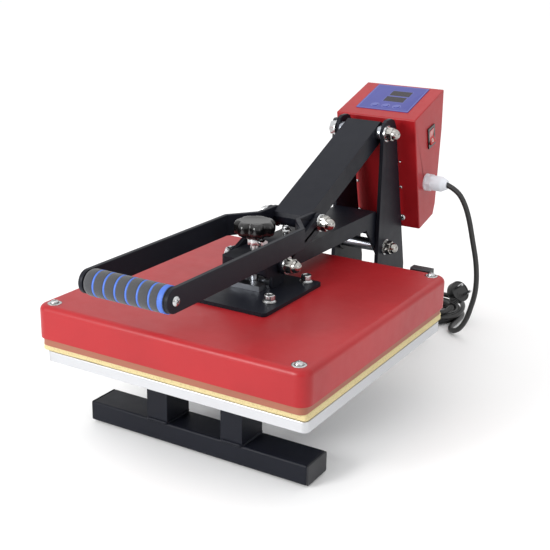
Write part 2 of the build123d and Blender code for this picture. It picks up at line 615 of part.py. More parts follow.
def build_box():
    save("box_shell", box_shell())
    save("box_back", box_back())
    screws = []
    for x, z, head, tall in SIDE_SCREWS:
        for side in (-1, 1):
            place = on_front(side * x, z, 0)
            screw = place * Pos(0, 0, tall / 2) * Cylinder(head, tall)
            screw += place * Pos(0, 0, -3.0) * Cylinder(head / 2, 6.0)
            screws.append(screw)
    save("box_screws", *screws)
    panel = on_top(0.5, 65.0, 0.4) * extrude(RectangleRounded(89.0, 86.0, 2.0), 0.8, both=False)
    panel = Pos(0, 0.4 * sin(TOP_SLOPE), -0.4 * cos(TOP_SLOPE)) * panel
    for x, along in KEYS:
        panel -= on_top(x, along, 0) * Cylinder(5.2, 8)
    save("membrane_panel", panel)
    for name, (x, along) in zip(("mode_key", "down_key", "up_key"), KEYS):
        cap = on_top(x, along, 1.2) * Cylinder(5.0, 0.9)
        stem = on_top(x, along, -3.25) * Cylinder(2.9, 8.3)
        save(name, cap + stem)
    board = on_top(2.0, 60.0, -17.0) * Box(96.0, 84.0, 1.6)
    for x, along, w, h in WINDOWS:
        board += on_top(x, along, -9.2) * Box(w - 2, h - 2, 14.2)
    for x, along in KEYS:
        board += on_top(x, along, -12.2) * Box(6.0, 6.0, 8.2)
    board += on_top(-22.0, 82.0, -28.5) * Box(34.0, 30.0, 22.0)
    board += on_top(24.0, 84.0, -25.0) * Box(20.0, 16.0, 15.0)
    save("control_board", board)
    turn = Pos(BOX_HALF, *SWITCH_AT) * Rot(degrees(FRONT_SLOPE), 0, 0)
    bezel = turn * Pos(1.0, 0, 0) * Box(2.0, 25.0, 33.0)
    bezel += turn * Pos(-10.0, 0, 0) * Box(20.0, 20.6, 28.6)
    bezel -= turn * Pos(-2.0, 0, 0) * Box(12.0, 17.0, 25.0)
    bezel -= turn * Pos(-2.0, 0, 0) * Rot(90, 0, 0) * Cylinder(1.6, 19.2)
    save("switch_body", bezel)
    paddle = [(-4.0, -8.0), (-4.0, 8.0), (-1.0, 11.6), (2.4, 11.6), (1.2, 0.0), (4.6, -10.9), (-1.0, -11.6)]
    rocker = extrude(Plane.XZ * make_face(Polyline(*paddle, close=True)), 8.2, both=True)
    rocker += Pos(-2.0, 0, 0) * Rot(90, 0, 0) * Cylinder(1.4, 18.6)
    save("power_rocker", turn * rocker)
    y, z = GLAND_AT
    gland = bar_x(y, z, 13.5, BOX_HALF, BOX_HALF + 3.0) + hex_x(y, z, 24.0, BOX_HALF + 3.0, BOX_HALF + 11.0)
    gland += bar_x(y, z, 12.0, BOX_HALF + 11.0, BOX_HALF + 27.0)
    gland += Pos(BOX_HALF + 31.5, y, z) * Rot(0, 90, 0) * Cone(12.0, 7.5, 9.0)
    gland += bar_x(y, z, 8.0, BOX_HALF - 12.0, BOX_HALF)
    gland -= bar_x(y, z, CORD_R, BOX_HALF - 20.0, BOX_HALF + 60.0)
    save("cable_gland", gland)


# ---- limit switch on the left upright -----------------------------------------------------
def build_limit_switch():
    """A micro switch screwed to the left upright, with a sprung blade on its front."""
    out = -(UPRIGHT_IN + SHEET)
    front = 321.0
    pin = (front + 2.4, 317.5)
    body = block(out - 17.0, out, front, front + 16.0, 308.0, 356.0)
    body = fillet(body.edges().filter_by(Axis.X).group_by(Axis.Z)[-1], 5.0)
    body -= block(out - 11.5, out - 5.5, front - 3.0, front + 4.2, 314.5, 349.0)
    body -= bar_x(*pin, 1.25, out - 14.0, out - 3.0)
    save("limit_switch", body)
    blade = side_plate([(pin[0], pin[1]), (front - 2.4, 347.0), (front - 3.2, 347.0), (pin[0] - 0.9, pin[1])],
                       out - 11.0, out - 6.0)
    save("limit_switch_blade", blade + bar_x(*pin, 1.2, out - 13.5, out - 3.5))


# ---- mains lead ---------------------------------------------------------------------------
CORD_ROUTE = [
    (BOX_HALF + 36.0, 409.0, 255.0), (119.0, 409.5, 249.0), (133.0, 409.0, 232.0), (143.0, 410.5, 205.0),
    (151.5, 409.5, 172.0), (159.0, 411.5, 140.0), (163.0, 411.0, 110.0), (161.0, 414.5, 82.0),
    (155.5, 414.5, 58.0), (149.0, 418.5, 37.0), (139.5, 421.5, 19.0), (127.5, 427.0, 8.0), (115.5, 437.0, 4.8),
    (111.0, 450.5, 4.5), (109.4, 465.0, 4.5), (109.2, 480.0, 4.5),
]
TAIL_ROUTE = [(99.5, 480.6, 30.2), (96.0, 470.5, 23.8), (88.0, 461.5, 21.4)]


def route_radii(points):
    """The arc radius at each corner: 0.45 of the shorter run over the tangent of half the turn."""
    radii = []
    for before, at, after in zip(points, points[1:], points[2:]):
        a = Vector(*at) - Vector(*before)
        b = Vector(*after) - Vector(*at)
        radii.append(0.45 * min(a.length, b.length) / tan(radians(a.get_angle(b)) / 2))
    return radii


def cord_tube(points, radius):
    """A round lead along straight runs joined by tangent arcs."""
    radii = route_radii(points)
    print("radii", [round(r) for r in radii])
    path = FilletPolyline(*points, radius=radii)
    section = Plane(origin=path @ 0, z_dir=path % 0) * Circle(radius)
    tube = sweep(section, path=path)
    print("length", round(path.length), "volume ratio", round(tube.volume / (pi * radius ** 2 * path.length), 4))
    return tube


def plug_place():
    """The plug's own frame: pins along Z, the lead's boot along -Y."""
    return Plane(origin=PLUG_AT, x_dir=PIN_SIDE, z_dir=PLUG_AIM).location


def plug_body():
    """An angled two-pin plug: a round face, a domed back and a boot to one side."""
    body = Pos(0, 0, 1.5) * Cylinder(18.5, 15.0)
    body += Pos(0, 0, -8.5) * Cone(13.0, 18.5, 5.0)
    boot = Rot(90, 0, 0) * Pos(0, 0, 21.0) * Cone(8.0, 5.6, 18.0)
    body = body + boot
    for side in (-1, 1):
        body -= Pos(9.5 * side, 0, 5.0) * Cylinder(2.4, 12.0)
    return body - Rot(90, 0, 0) * Pos(0, 0, 27.0) * Cylinder(CORD_R, 12.0)


def plug_pin(side):
    """A round pin with a rounded tip."""
    pin = Pos(9.5 * side, 0, 12.5) * Cylinder(2.4, 27.0)
    return fillet(pin.edges().group_by(Axis.Z)[-1], 2.0)


def build_cord():
    save("power_cord", cord_tube(CORD_ROUTE, CORD_R))
    cx, cy = COIL_AT
    save("cord_coil", ring_z(cx, cy, COIL_MID_R + COIL_W / 2, COIL_MID_R - COIL_W / 2, 0.0, COIL_H))
    save("plug_lead", cord_tube(TAIL_ROUTE, CORD_R))
    place = plug_place()
    save("power_plug", place * plug_body())
    save("plug_pins", *[place * plug_pin(side) for side in (-1, 1)])


build_base()
build_uprights()
build_table()
build_arm()
build_head()
build_pressure_screw()
build_lever()
build_toggle()
build_box()
build_limit_switch()
build_cord()
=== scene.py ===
import logging
import math
from dataclasses import dataclass, field
from enum import Enum
from typing import Callable, Mapping, Sequence

import bpy
from mathutils import Matrix, Vector


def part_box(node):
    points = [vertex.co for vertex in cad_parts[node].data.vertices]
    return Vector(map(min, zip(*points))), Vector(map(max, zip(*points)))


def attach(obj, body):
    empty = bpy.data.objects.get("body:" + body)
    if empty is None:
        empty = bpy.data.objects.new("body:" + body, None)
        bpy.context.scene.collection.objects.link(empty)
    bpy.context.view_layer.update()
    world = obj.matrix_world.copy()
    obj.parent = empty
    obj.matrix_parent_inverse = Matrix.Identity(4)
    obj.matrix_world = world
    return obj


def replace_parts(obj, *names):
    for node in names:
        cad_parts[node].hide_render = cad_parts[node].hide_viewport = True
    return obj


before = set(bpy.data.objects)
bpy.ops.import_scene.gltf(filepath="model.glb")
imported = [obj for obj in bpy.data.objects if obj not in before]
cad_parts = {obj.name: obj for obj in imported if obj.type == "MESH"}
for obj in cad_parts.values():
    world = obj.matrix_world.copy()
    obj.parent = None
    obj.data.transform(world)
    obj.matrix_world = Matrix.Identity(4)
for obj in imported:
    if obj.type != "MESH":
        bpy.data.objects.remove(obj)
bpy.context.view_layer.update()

LOG = logging.getLogger("heat_press")
MM = 0.001
MID_Y = 93.5             # the machine is drawn about its table; this shifts it to the footprint's middle
Colour = tuple[float, float, float]


def at(x: float, y: float, z: float) -> Vector:
    """A place given in millimetres from the table's middle, as a point of the frame in metres."""
    return Vector((x, y - MID_Y, z)) * MM


def facing(origin: Vector, z_axis: Vector, x_hint: Vector) -> Matrix:
    """A local frame whose Z points along z_axis.

    Args:
        origin: where the local frame sits, in metres.
        z_axis: the way its Z points.
        x_hint: the way its X points, as nearly as square to Z allows.

    Returns:
        The matrix from the local frame to the machine's frame.
    """
    z = z_axis.normalized()
    x = (x_hint - z * x_hint.dot(z)).normalized()
    y = z.cross(x)
    turn = Matrix((x, y, z)).transposed().to_4x4()
    return Matrix.Translation(origin) @ turn


# ---- shader graphs ------------------------------------------------------------------------


@dataclass(frozen=True)
class Value:
    """A socket that carries a number, with arithmetic that adds Math nodes."""

    graph: "Graph"
    socket: bpy.types.NodeSocket

    def _math(self, operation: str, *values: object) -> "Value":
        """One Math node on this value and the others."""
        node = self.graph.add("ShaderNodeMath", {"operation": operation}, dict(enumerate(values)))
        return Value(self.graph, node.outputs[0])

    def __add__(self, other: object) -> "Value":
        """Sum."""
        return self._math("ADD", self, other)

    def __radd__(self, other: object) -> "Value":
        """Reflected sum."""
        return self._math("ADD", other, self)

    def __sub__(self, other: object) -> "Value":
        """Difference."""
        return self._math("SUBTRACT", self, other)

    def __rsub__(self, other: object) -> "Value":
        """Reflected difference."""
        return self._math("SUBTRACT", other, self)

    def __mul__(self, other: object) -> "Value":
        """Product."""
        return self._math("MULTIPLY", self, other)

    def __rmul__(self, other: object) -> "Value":
        """Reflected product."""
        return self._math("MULTIPLY", other, self)

    def __truediv__(self, other: object) -> "Value":
        """Quotient."""
        return self._math("DIVIDE", self, other)

    def __abs__(self) -> "Value":
        """Size without sign."""
        return self._math("ABSOLUTE", self)

    def __pow__(self, other: object) -> "Value":
        """Power."""
        return self._math("POWER", self, other)

    def least(self, other: object) -> "Value":
        """The smaller of two values."""
        return self._math("MINIMUM", self, other)

    def most(self, other: object) -> "Value":
        """The larger of two values."""
        return self._math("MAXIMUM", self, other)

    def ease(self, low: float, high: float) -> "Value":
        """0 below low, 1 above high and smooth between them; high may be the smaller.

        Args:
            low: where the value starts to rise from 0.
            high: where it reaches 1.

        Returns:
            The eased value.
        """
        node = self.graph.add(
            "ShaderNodeMapRange",
            {"interpolation_type": "SMOOTHSTEP"},
            {0: self, 1: low, 2: high, 3: 0.0, 4: 1.0},
        )
        return Value(self.graph, node.outputs[0])


@dataclass
class Graph:
    """One material's node tree, with its shader and the object's own coordinates."""

    name: str
    material: bpy.types.Material = field(init=False)
    shader: bpy.types.Node = field(init=False)

    def __post_init__(self) -> None:
        """Makes the material with a Principled shader joined to its output."""
        self.material = bpy.data.materials.new(self.name)
        self.material.use_nodes = True
        self.material.node_tree.nodes.clear()
        output = self.add("ShaderNodeOutputMaterial")
        self.shader = self.add("ShaderNodeBsdfPrincipled")
        self.feed(output.inputs["Surface"], self.shader.outputs[0])

    def add(
        self,
        kind: str,
        settings: Mapping[str, object] | None = None,
        values: Mapping[int | str, object] | None = None,
    ) -> bpy.types.Node:
        """Adds one node.

        Args:
            kind: the node's type.
            settings: its own settings, such as an operation; "stops" holds a ramp's places and colours.
            values: a value or a link for each input socket, by name or number.

        Returns:
            The new node.
        """
        node = self.material.node_tree.nodes.new(kind)
        for name, setting in (settings or {}).items():
            if name == "stops":
                self._set_stops(node, setting)
            else:
                setattr(node, name, setting)
        for key, value in (values or {}).items():
            self.feed(node.inputs[key], value)
        return node

    @staticmethod
    def _set_stops(node: bpy.types.Node, stops: Sequence[tuple[float, Colour]]) -> None:
        """Gives a colour ramp its stops.

        Args:
            node: the ramp node.
            stops: each stop as a place from 0 to 1 and a colour.
        """
        ramp = node.color_ramp
        while len(ramp.elements) < len(stops):
            ramp.elements.new(0.5)
        for element, (place, colour) in zip(ramp.elements, stops):
            element.position = place
            element.color = (*colour, 1.0)

    def feed(self, socket: bpy.types.NodeSocket, value: object) -> None:
        """Sets a socket's value, or links a socket or a Value to it.

        Args:
            socket: the input socket.
            value: a number, a colour, a link or a Value.
        """
        if isinstance(value, Value):
            value = value.socket
        if isinstance(value, bpy.types.NodeSocket):
            self.material.node_tree.links.new(value, socket)
        elif socket.type == "RGBA" and len(value) == 3:
            socket.default_value = (*value, 1.0)
        else:
            socket.default_value = value

    def set(self, **values: object) -> None:
        """Sets the shader's sockets; an underscore stands for a space."""
        for name, value in values.items():
            self.feed(self.shader.inputs[name.replace("_", " ")], value)

    def place(self, stretch: Colour = (1.0, 1.0, 1.0)) -> bpy.types.NodeSocket:
        """The object's own coordinates in metres, stretched along each axis.

        Args:
            stretch: how much each axis is stretched.

        Returns:
            The coordinates.
        """
        coords = self.add("ShaderNodeTexCoord").outputs["Object"]
        if stretch == (1.0, 1.0, 1.0):
            return coords
        node = self.add("ShaderNodeVectorMath", {"operation": "MULTIPLY"}, {0: coords, 1: stretch})
        return node.outputs[0]

    def axes(self) -> tuple[Value, Value, Value]:
        """The object's X, Y and Z in metres, each as a value."""
        split = self.add("ShaderNodeSeparateXYZ", None, {0: self.place()})
        return tuple(Value(self, socket) for socket in split.outputs)

    def noise(self, scale: float, detail: float = 3.0, stretch: Colour = (1.0, 1.0, 1.0)) -> Value:
        """Fine cloudy noise from 0 to 1, with scale in features per metre."""
        node = self.add(
            "ShaderNodeTexNoise", None, {"Vector": self.place(stretch), "Scale": scale, "Detail": detail}
        )
        return Value(self, node.outputs["Fac"])

    def cells(self, scale: float) -> Value:
        """Distance to the nearest of scattered points, for pores and grains."""
        node = self.add("ShaderNodeTexVoronoi", None, {"Vector": self.place(), "Scale": scale})
        return Value(self, node.outputs["Distance"])

    def blend(self, mask: object, low: object, high: object) -> bpy.types.NodeSocket:
        """A colour between two, by a mask from 0 to 1."""
        node = self.add("ShaderNodeMix", {"data_type": "RGBA"}, {0: mask, 6: low, 7: high})
        return node.outputs[2]

    def bump(self, height: Value, distance: float, strength: float = 1.0) -> None:
        """Gives the shader a bump of that depth in metres."""
        node = self.add(
            "ShaderNodeBump", None, {"Strength": strength, "Distance": distance, "Height": height}
        )
        self.set(Normal=node.outputs[0])


# ---- finishes -----------------------------------------------------------------------------


@dataclass(frozen=True)
class Finish:
    """A named surface finish. Each kind says how its graph is painted."""

    name: str

    def paint(self, graph: Graph) -> None:
        """Fills in the finish's nodes."""
        raise NotImplementedError

    def material(self) -> bpy.types.Material:
        """The finish's material, made once."""
        known = bpy.data.materials.get(self.name)
        if known is not None:
            return known
        graph = Graph(self.name)
        self.paint(graph)
        return graph.material


@dataclass(frozen=True)
class PowderCoat(Finish):
    """Baked powder paint: even colour with a fine orange-peel skin."""

    colour: Colour
    roughness: float = 0.38
    peel: float = 520.0
    depth: float = 0.00012
    coat: float = 0.0
    specular: float = 0.35

    def paint(self, graph: Graph) -> None:
        """Colour drifts slightly; the skin's ripple shows in its highlights.

        Args:
            graph: the material's graph to fill in.
        """
        drift = graph.noise(9.0, 4.0)
        speck = graph.noise(2600.0, 2.0)
        shade = (drift * 0.7 + speck * 0.3).ease(0.25, 0.75)
        dark = tuple(c * 0.86 for c in self.colour)
        light = tuple(min(1.0, c * 1.12 + 0.001) for c in self.colour)
        graph.set(Base_Color=graph.blend(shade, dark, light))
        graph.set(Roughness=graph.noise(60.0, 3.0) * 0.14 + (self.roughness - 0.07))
        graph.set(Coat_Weight=self.coat, Coat_Roughness=0.22)
        graph.set(Specular_IOR_Level=self.specular)
        ripple = graph.noise(self.peel, 2.0) * 0.8 + speck * 0.2
        graph.bump(ripple, self.depth, 0.55)


@dataclass(frozen=True)
class MachinedMetal(Finish):
    """Bare metal with fine tool marks along one direction."""

    colour: Colour
    roughness: float = 0.32
    stretch: Colour = (4.0, 260.0, 260.0)
    depth: float = 0.00004

    def paint(self, graph: Graph) -> None:
        """Streaks change the roughness and lift a faint bump.

        Args:
            graph: the material's graph to fill in.
        """
        streak = graph.noise(6.0, 6.0, self.stretch)
        cloud = graph.noise(22.0, 4.0)
        dark = tuple(c * 0.82 for c in self.colour)
        graph.set(Base_Color=graph.blend(streak * 0.6 + cloud * 0.4, dark, self.colour))
        graph.set(Metallic=1.0, Roughness=streak * 0.16 + cloud * 0.1 + (self.roughness - 0.12))
        graph.bump(streak, self.depth, 0.5)


@dataclass(frozen=True)
class BrightPlate(Finish):
    """Bright zinc or nickel plate on turned hardware."""

    colour: Colour = (0.52, 0.53, 0.54)
    roughness: float = 0.2

    def paint(self, graph: Graph) -> None:
        """Bright with cloudy patches where the plating is thinner.

        Args:
            graph: the material's graph to fill in.
        """
        cloud = graph.noise(140.0, 4.0)
        fine = graph.noise(1500.0, 2.0)
        warm = (self.colour[0] * 0.86, self.colour[1] * 0.84, self.colour[2] * 0.8)
        graph.set(Base_Color=graph.blend(cloud.ease(0.45, 0.8), self.colour, warm))
        graph.set(Metallic=1.0, Roughness=cloud * 0.12 + fine * 0.05 + (self.roughness - 0.06))
        graph.bump(fine, 0.00002, 0.4)


@dataclass(frozen=True)
class MouldedPlastic(Finish):
    """Moulded plastic or rubber with a fine spark-eroded grain."""

    colour: Colour
    roughness: float = 0.45
    grain: float = 1900.0
    depth: float = 0.00005
    coat: float = 0.0

    def paint(self, graph: Graph) -> None:
        """An even colour with a fine grain.

        Args:
            graph: the material's graph to fill in.
        """
        grain = graph.noise(self.grain, 2.0)
        cloud = graph.noise(30.0, 3.0)
        dark = tuple(c * 0.85 for c in self.colour)
        light = tuple(min(1.0, c * 1.15 + 0.002) for c in self.colour)
        graph.set(Base_Color=graph.blend(cloud, dark, light))
        graph.set(Roughness=cloud * 0.12 + (self.roughness - 0.06))
        graph.set(Coat_Weight=self.coat, Coat_Roughness=0.08)
        graph.bump(grain, self.depth, 0.5)


@dataclass(frozen=True)
class FoamSkin(Finish):
    """Closed-cell foam rubber: matte, speckled with tiny pores."""

    colour: Colour = (0.030, 0.031, 0.035)

    def paint(self, graph: Graph) -> None:
        """Pores are sunk and painted darker, as painted shade in their hollows; the foam between them is lighter.

        Args:
            graph: the material's graph to fill in.
        """
        pores = graph.cells(1500.0).ease(0.05, 0.45)
        fibre = graph.noise(900.0, 5.0)
        dark = tuple(c * 0.45 for c in self.colour)
        light = tuple(c * 1.7 for c in self.colour)
        # painted shade: the pores' hollows are coloured darker than the foam between them
        graph.set(Base_Color=graph.blend(pores * 0.55 + fibre * 0.45, dark, light))
        graph.set(Roughness=0.9, Sheen_Weight=0.18, Sheen_Roughness=0.5)
        graph.bump(pores * 0.7 + fibre * 0.5, 0.00025, 0.7)


@dataclass(frozen=True)
class SpongeRubber(Finish):
    """Heat-resistant silicone sponge: grainy tan with open cut cells."""

    colour: Colour = (0.56, 0.46, 0.20)

    def paint(self, graph: Graph) -> None:
        """Cells of two sizes; the pits are painted darker, as painted shade in their hollows.

        Args:
            graph: the material's graph to fill in.
        """
        cells = graph.cells(430.0)
        grain = graph.noise(800.0, 4.0)
        pits = cells.ease(0.0, 0.5) * 0.6 + grain * 0.4
        dark = tuple(c * 0.62 for c in self.colour)
        light = (min(1.0, self.colour[0] * 1.16), self.colour[1] * 1.18, self.colour[2] * 1.45)
        # painted shade: the pits are coloured darker than the sponge between them
        graph.set(Base_Color=graph.blend(pits, dark, light))
        graph.set(Roughness=0.82)
        graph.bump(pits, 0.0005, 0.6)


@dataclass(frozen=True)
class NonStickCoat(Finish):
    """The platen's baked non-stick coat: salmon-brown, speckled, dull."""

    colour: Colour = (0.25, 0.075, 0.040)

    def paint(self, graph: Graph) -> None:
        """A speckled matte coat, a little scorched in patches.

        Args:
            graph: the material's graph to fill in.
        """
        speck = graph.noise(1800.0, 3.0)
        scorch = graph.noise(14.0, 4.0).ease(0.45, 0.75)
        light = (min(1.0, self.colour[0] * 1.25), self.colour[1] * 1.5, self.colour[2] * 1.6)
        mottled = graph.blend(speck, self.colour, light)
        graph.set(Base_Color=graph.blend(scorch * 0.35, mottled, (0.22, 0.06, 0.04)))
        graph.set(Roughness=speck * 0.2 + 0.42)
        graph.bump(speck, 0.00008, 0.5)


@dataclass(frozen=True)
class GlassWool(Finish):
    """Pressed mineral wool board."""

    def paint(self, graph: Graph) -> None:
        """Long pale fibres."""
        fibre = graph.noise(180.0, 8.0, (1.0, 1.0, 6.0))
        graph.set(Base_Color=graph.blend(fibre, (0.42, 0.38, 0.26), (0.86, 0.82, 0.66)), Roughness=0.95)
        graph.bump(fibre, 0.0015, 0.8)


@dataclass(frozen=True)
class CircuitBoard(Finish):
    """Green solder resist with paler copper tracks."""

    def paint(self, graph: Graph) -> None:
        """Tracks run in bands across the board.

        Args:
            graph: the material's graph to fill in.
        """
        x, y, _ = graph.axes()
        bands = (abs((x * 260.0)._math("FRACT", x * 260.0) - 0.5)).ease(0.12, 0.2)
        rows = (abs((y * 190.0)._math("FRACT", y * 190.0) - 0.5)).ease(0.12, 0.2)
        graph.set(Base_Color=graph.blend(bands * rows, (0.03, 0.2, 0.09), (0.01, 0.09, 0.04)))
        graph.set(Roughness=0.3, Coat_Weight=0.4, Coat_Roughness=0.1)


@dataclass(frozen=True)
class PanelFilm(Finish):
    """Printed membrane film: blue field, pale border, two dark windows and a ring round each key."""

    origin: tuple[float, float, float]      # the top face's front edge, in metres
    slope: float                            # how far the face leans back, in radians
    windows: tuple[tuple[float, float, float, float], ...]
    keys: tuple[tuple[float, float], ...]
    half: tuple[float, float]
    centre: tuple[float, float]
    key_ring: float

    def _rim(self, x: Value, v: Value, half: tuple[float, float]) -> Value:
        """How far inside a rectangle's edge a point is, in metres."""
        return (half[0] - abs(x)).least(half[1] - abs(v))

    def paint(self, graph: Graph) -> None:
        """Every printed shape is a distance on the face, so its edges stay crisp.

        Args:
            graph: the material's graph to fill in.
        """
        x, y, z = graph.axes()
        along = (y - self.origin[1]) * math.cos(self.slope) + (z - self.origin[2]) * math.sin(self.slope)
        edge = self._rim(x - self.centre[0], along - self.centre[1], self.half)
        border = edge.ease(0.0026, 0.0023) * edge.ease(0.0012, 0.0015)
        cloud = graph.noise(40.0, 3.0)
        field_colour = graph.blend(cloud, (0.055, 0.060, 0.245), (0.065, 0.072, 0.285))
        colour = graph.blend(border * 0.6, field_colour, (0.20, 0.20, 0.42))
        dark = None
        for wx, wv, width, depth in self.windows:
            inside = self._rim(x - wx, along - wv, (width / 2, depth / 2))
            window = inside.ease(-0.0001, 0.0002)
            frame_line = inside.ease(-0.0011, -0.0008) * inside.ease(-0.0001, -0.0004)
            colour = graph.blend(frame_line * 0.55, colour, (0.14, 0.15, 0.38))
            dark = window if dark is None else dark.most(window)
            colour = graph.blend(self._digits(x - wx, along - wv, width, depth) * 0.35 * window,
                                 graph.blend(window, colour, (0.006, 0.004, 0.010)), (0.035, 0.010, 0.014))
        for kx, kv in self.keys:
            out = ((x - kx) ** 2.0 + (along - kv) ** 2.0) ** 0.5
            outer = out.ease(self.key_ring + 0.0013, self.key_ring + 0.0010)
            ring = outer * out.ease(self.key_ring, self.key_ring + 0.0003)
            colour = graph.blend(ring, colour, (0.16, 0.17, 0.42))
        graph.set(Base_Color=colour, Roughness=0.42 - dark * 0.2, Specular_IOR_Level=0.25)
        graph.bump(graph.noise(1300.0, 2.0), 0.00003, 0.4)

    @staticmethod
    def _digits(x: Value, v: Value, width: float, depth: float) -> Value:
        """Unlit number segments: three blocky eights across a window.

        Args:
            x: distance across from the window's middle, in metres.
            v: distance up from the window's middle, in metres.
            width: the window's width in metres.
            depth: the window's height in metres.

        Returns:
            A mask of the segments.
        """
        pitch = width / 3.4
        third = ((x / pitch) + 1.5)
        inside = third.ease(0.0, 0.02) * third.ease(3.0, 2.98)
        u = abs(third._math("FRACT", third) - 0.5)
        t = abs(v / (depth * 0.36))
        uprights = u.ease(0.22, 0.25) * u.ease(0.36, 0.33) * t.ease(0.95, 0.9)
        bars = u.ease(0.34, 0.31) * (t.ease(0.14, 0.1) + t.ease(0.86, 0.9) * t.ease(1.06, 1.0))
        return inside * uprights.most(bars)


@dataclass(frozen=True)
class RockerMark(Finish):
    """Glossy red rocker plastic with a pale stroke and ring moulded on it."""

    centre: tuple[float, float]
    slope: float

    def paint(self, graph: Graph) -> None:
        """The stroke is on the upper half and the ring on the lower.

        Args:
            graph: the material's graph to fill in.
        """
        _, y, z = graph.axes()
        across = (y - self.centre[0]) * math.cos(self.slope) + (z - self.centre[1]) * math.sin(self.slope)
        up = (z - self.centre[1]) * math.cos(self.slope) - (y - self.centre[0]) * math.sin(self.slope)
        stroke = abs(across).ease(0.0007, 0.0005) * abs(up - 0.0062).ease(0.0026, 0.0024)
        out = (across ** 2.0 + (up + 0.0062) ** 2.0) ** 0.5
        ring = abs(out - 0.0021).ease(0.0007, 0.0005)
        marks = stroke.most(ring)
        graph.set(Base_Color=graph.blend(marks, (0.40, 0.014, 0.012), (0.60, 0.57, 0.53)))
        graph.set(Roughness=0.22, Coat_Weight=0.5, Coat_Roughness=0.06)


BLACK = PowderCoat("black_powder_coat", (0.0065, 0.0075, 0.0125), roughness=0.44, specular=0.16)
RED = PowderCoat("red_powder_coat", (0.34, 0.008, 0.012), roughness=0.38, peel=420.0)
TABLE = MachinedMetal("milled_aluminium", (0.60, 0.61, 0.63), roughness=0.40)
STEEL = MachinedMetal("blued_steel", (0.36, 0.38, 0.42), roughness=0.30, stretch=(200.0, 4.0, 4.0))
ZINC = BrightPlate("bright_zinc_plate")
CAP_NUT = BrightPlate("polished_nickel", (0.40, 0.39, 0.37), 0.14)
COATED = NonStickCoat("platen_non_stick")
SPONGE = SpongeRubber("silicone_sponge")
FOAM = FoamSkin("grip_foam")
RING_BLUE = MouldedPlastic("grip_ring_blue", (0.045, 0.125, 0.48), roughness=0.55)
WOOL = GlassWool("insulation_board")
BOARD = CircuitBoard("circuit_board")
BLACK_PLASTIC = MouldedPlastic("black_nylon", (0.006, 0.0065, 0.010), roughness=0.46)
KNOB_BLACK = MouldedPlastic(
    "phenolic_black", (0.002, 0.002, 0.0022), roughness=0.22, depth=0.00001, coat=0.15)
FOOT_RUBBER = MouldedPlastic("foot_rubber", (0.022, 0.022, 0.022), roughness=0.75, grain=900.0)
NYLON = MouldedPlastic("pale_grey_nylon", (0.70, 0.73, 0.78), roughness=0.4)
JACKET = MouldedPlastic("cord_jacket", (0.004, 0.004, 0.0045), roughness=0.34, grain=1200.0)
BRASS = BrightPlate("brass_case", (0.72, 0.52, 0.25), 0.22)
KEY_FILM = MouldedPlastic("key_dome", (0.075, 0.088, 0.33), roughness=0.35)


# ---- meshes -------------------------------------------------------------------------------


class Outline(Enum):
    """The outline that holds one ring of a turned piece."""

    ROUND = "round"
    HEX = "hex"
    CROSS = "cross"
    LOBES = "lobes"


@dataclass(frozen=True)
class Ring:
    """One ring of a turned piece: height, radius and outline, in millimetres."""

    height: float
    radius: float
    outline: Outline = Outline.ROUND
    across: float = 0.0
    lobes: int = 7

    def reach(self, turn: float) -> float:
        """The ring's radius at an angle, in millimetres.

        Args:
            turn: the angle about the axis, in radians.

        Returns:
            The radius, held inside the outline.
        """
        if self.outline is Outline.HEX:
            off = (turn + math.pi / 6) % (math.pi / 3) - math.pi / 6
            return min(self.radius, self.across / 2 / math.cos(off))
        if self.outline is Outline.CROSS:
            c = max(abs(math.cos(turn)), 1e-6)
            s = max(abs(math.sin(turn)), 1e-6)
            half = self.across / 2
            return max(min(self.radius / c, half / s), min(self.radius / s, half / c))
        if self.outline is Outline.LOBES:
            wave = 0.5 + 0.5 * math.cos(self.lobes * turn)
            return self.radius - self.across * (1.0 - wave) ** 1.6
        return self.radius


def add_object(name: str, vertices: list[Vector], faces: list[tuple[int, ...]], finish: Finish,
               body: str, crease: float = 32.0) -> bpy.types.Object:
    """Makes one mesh piece that rides on a body.

    Args:
        name: the piece's name.
        vertices: its points in the machine's frame, in metres.
        faces: its faces.
        finish: its finish.
        body: the body it rides on.
        crease: the angle between faces, in degrees, above which an edge stays sharp.

    Returns:
        The new object.
    """
    mesh = bpy.data.meshes.new(name)
    mesh.from_pydata([tuple(v) for v in vertices], [], faces)
    mesh.validate()
    mesh.update()
    mesh.shade_smooth()
    mesh.set_sharp_from_angle(angle=math.radians(crease))
    mesh.materials.append(finish.material())
    piece = bpy.data.objects.new(name, mesh)
    bpy.context.scene.collection.objects.link(piece)
    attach(piece, body)
    LOG.info("%s: %d faces on %s", name, len(faces), body)
    return piece


@dataclass
class Turned:
    """A closed piece made of rings about one axis."""

    rings: Sequence[Ring]
    segments: int = 72

    def shape(self, place: Matrix) -> tuple[list[Vector], list[tuple[int, ...]]]:
        """The piece's points in metres and its faces.

        Args:
            place: the local frame, with the piece's axis along Z.

        Returns:
            Points and faces; the first and the last ring are closed with a fan.
        """
        count = self.segments
        points = []
        for ring in self.rings:
            for i in range(count):
                turn = 2 * math.pi * i / count
                r = ring.reach(turn)
                points.append(place @ (Vector((r * math.cos(turn), r * math.sin(turn), ring.height)) * MM))
        faces = []
        for k in range(len(self.rings) - 1):
            for i in range(count):
                a, b = k * count + i, k * count + (i + 1) % count
                faces.append((a, b, b + count, a + count))
        first, last = len(points), len(points) + 1
        points.append(place @ Vector((0, 0, self.rings[0].height * MM)))
        points.append(place @ Vector((0, 0, self.rings[-1].height * MM)))
        top = (len(self.rings) - 1) * count
        for i in range(count):
            faces.append((first, (i + 1) % count, i))
            faces.append((last, top + i, top + (i + 1) % count))
        return points, faces


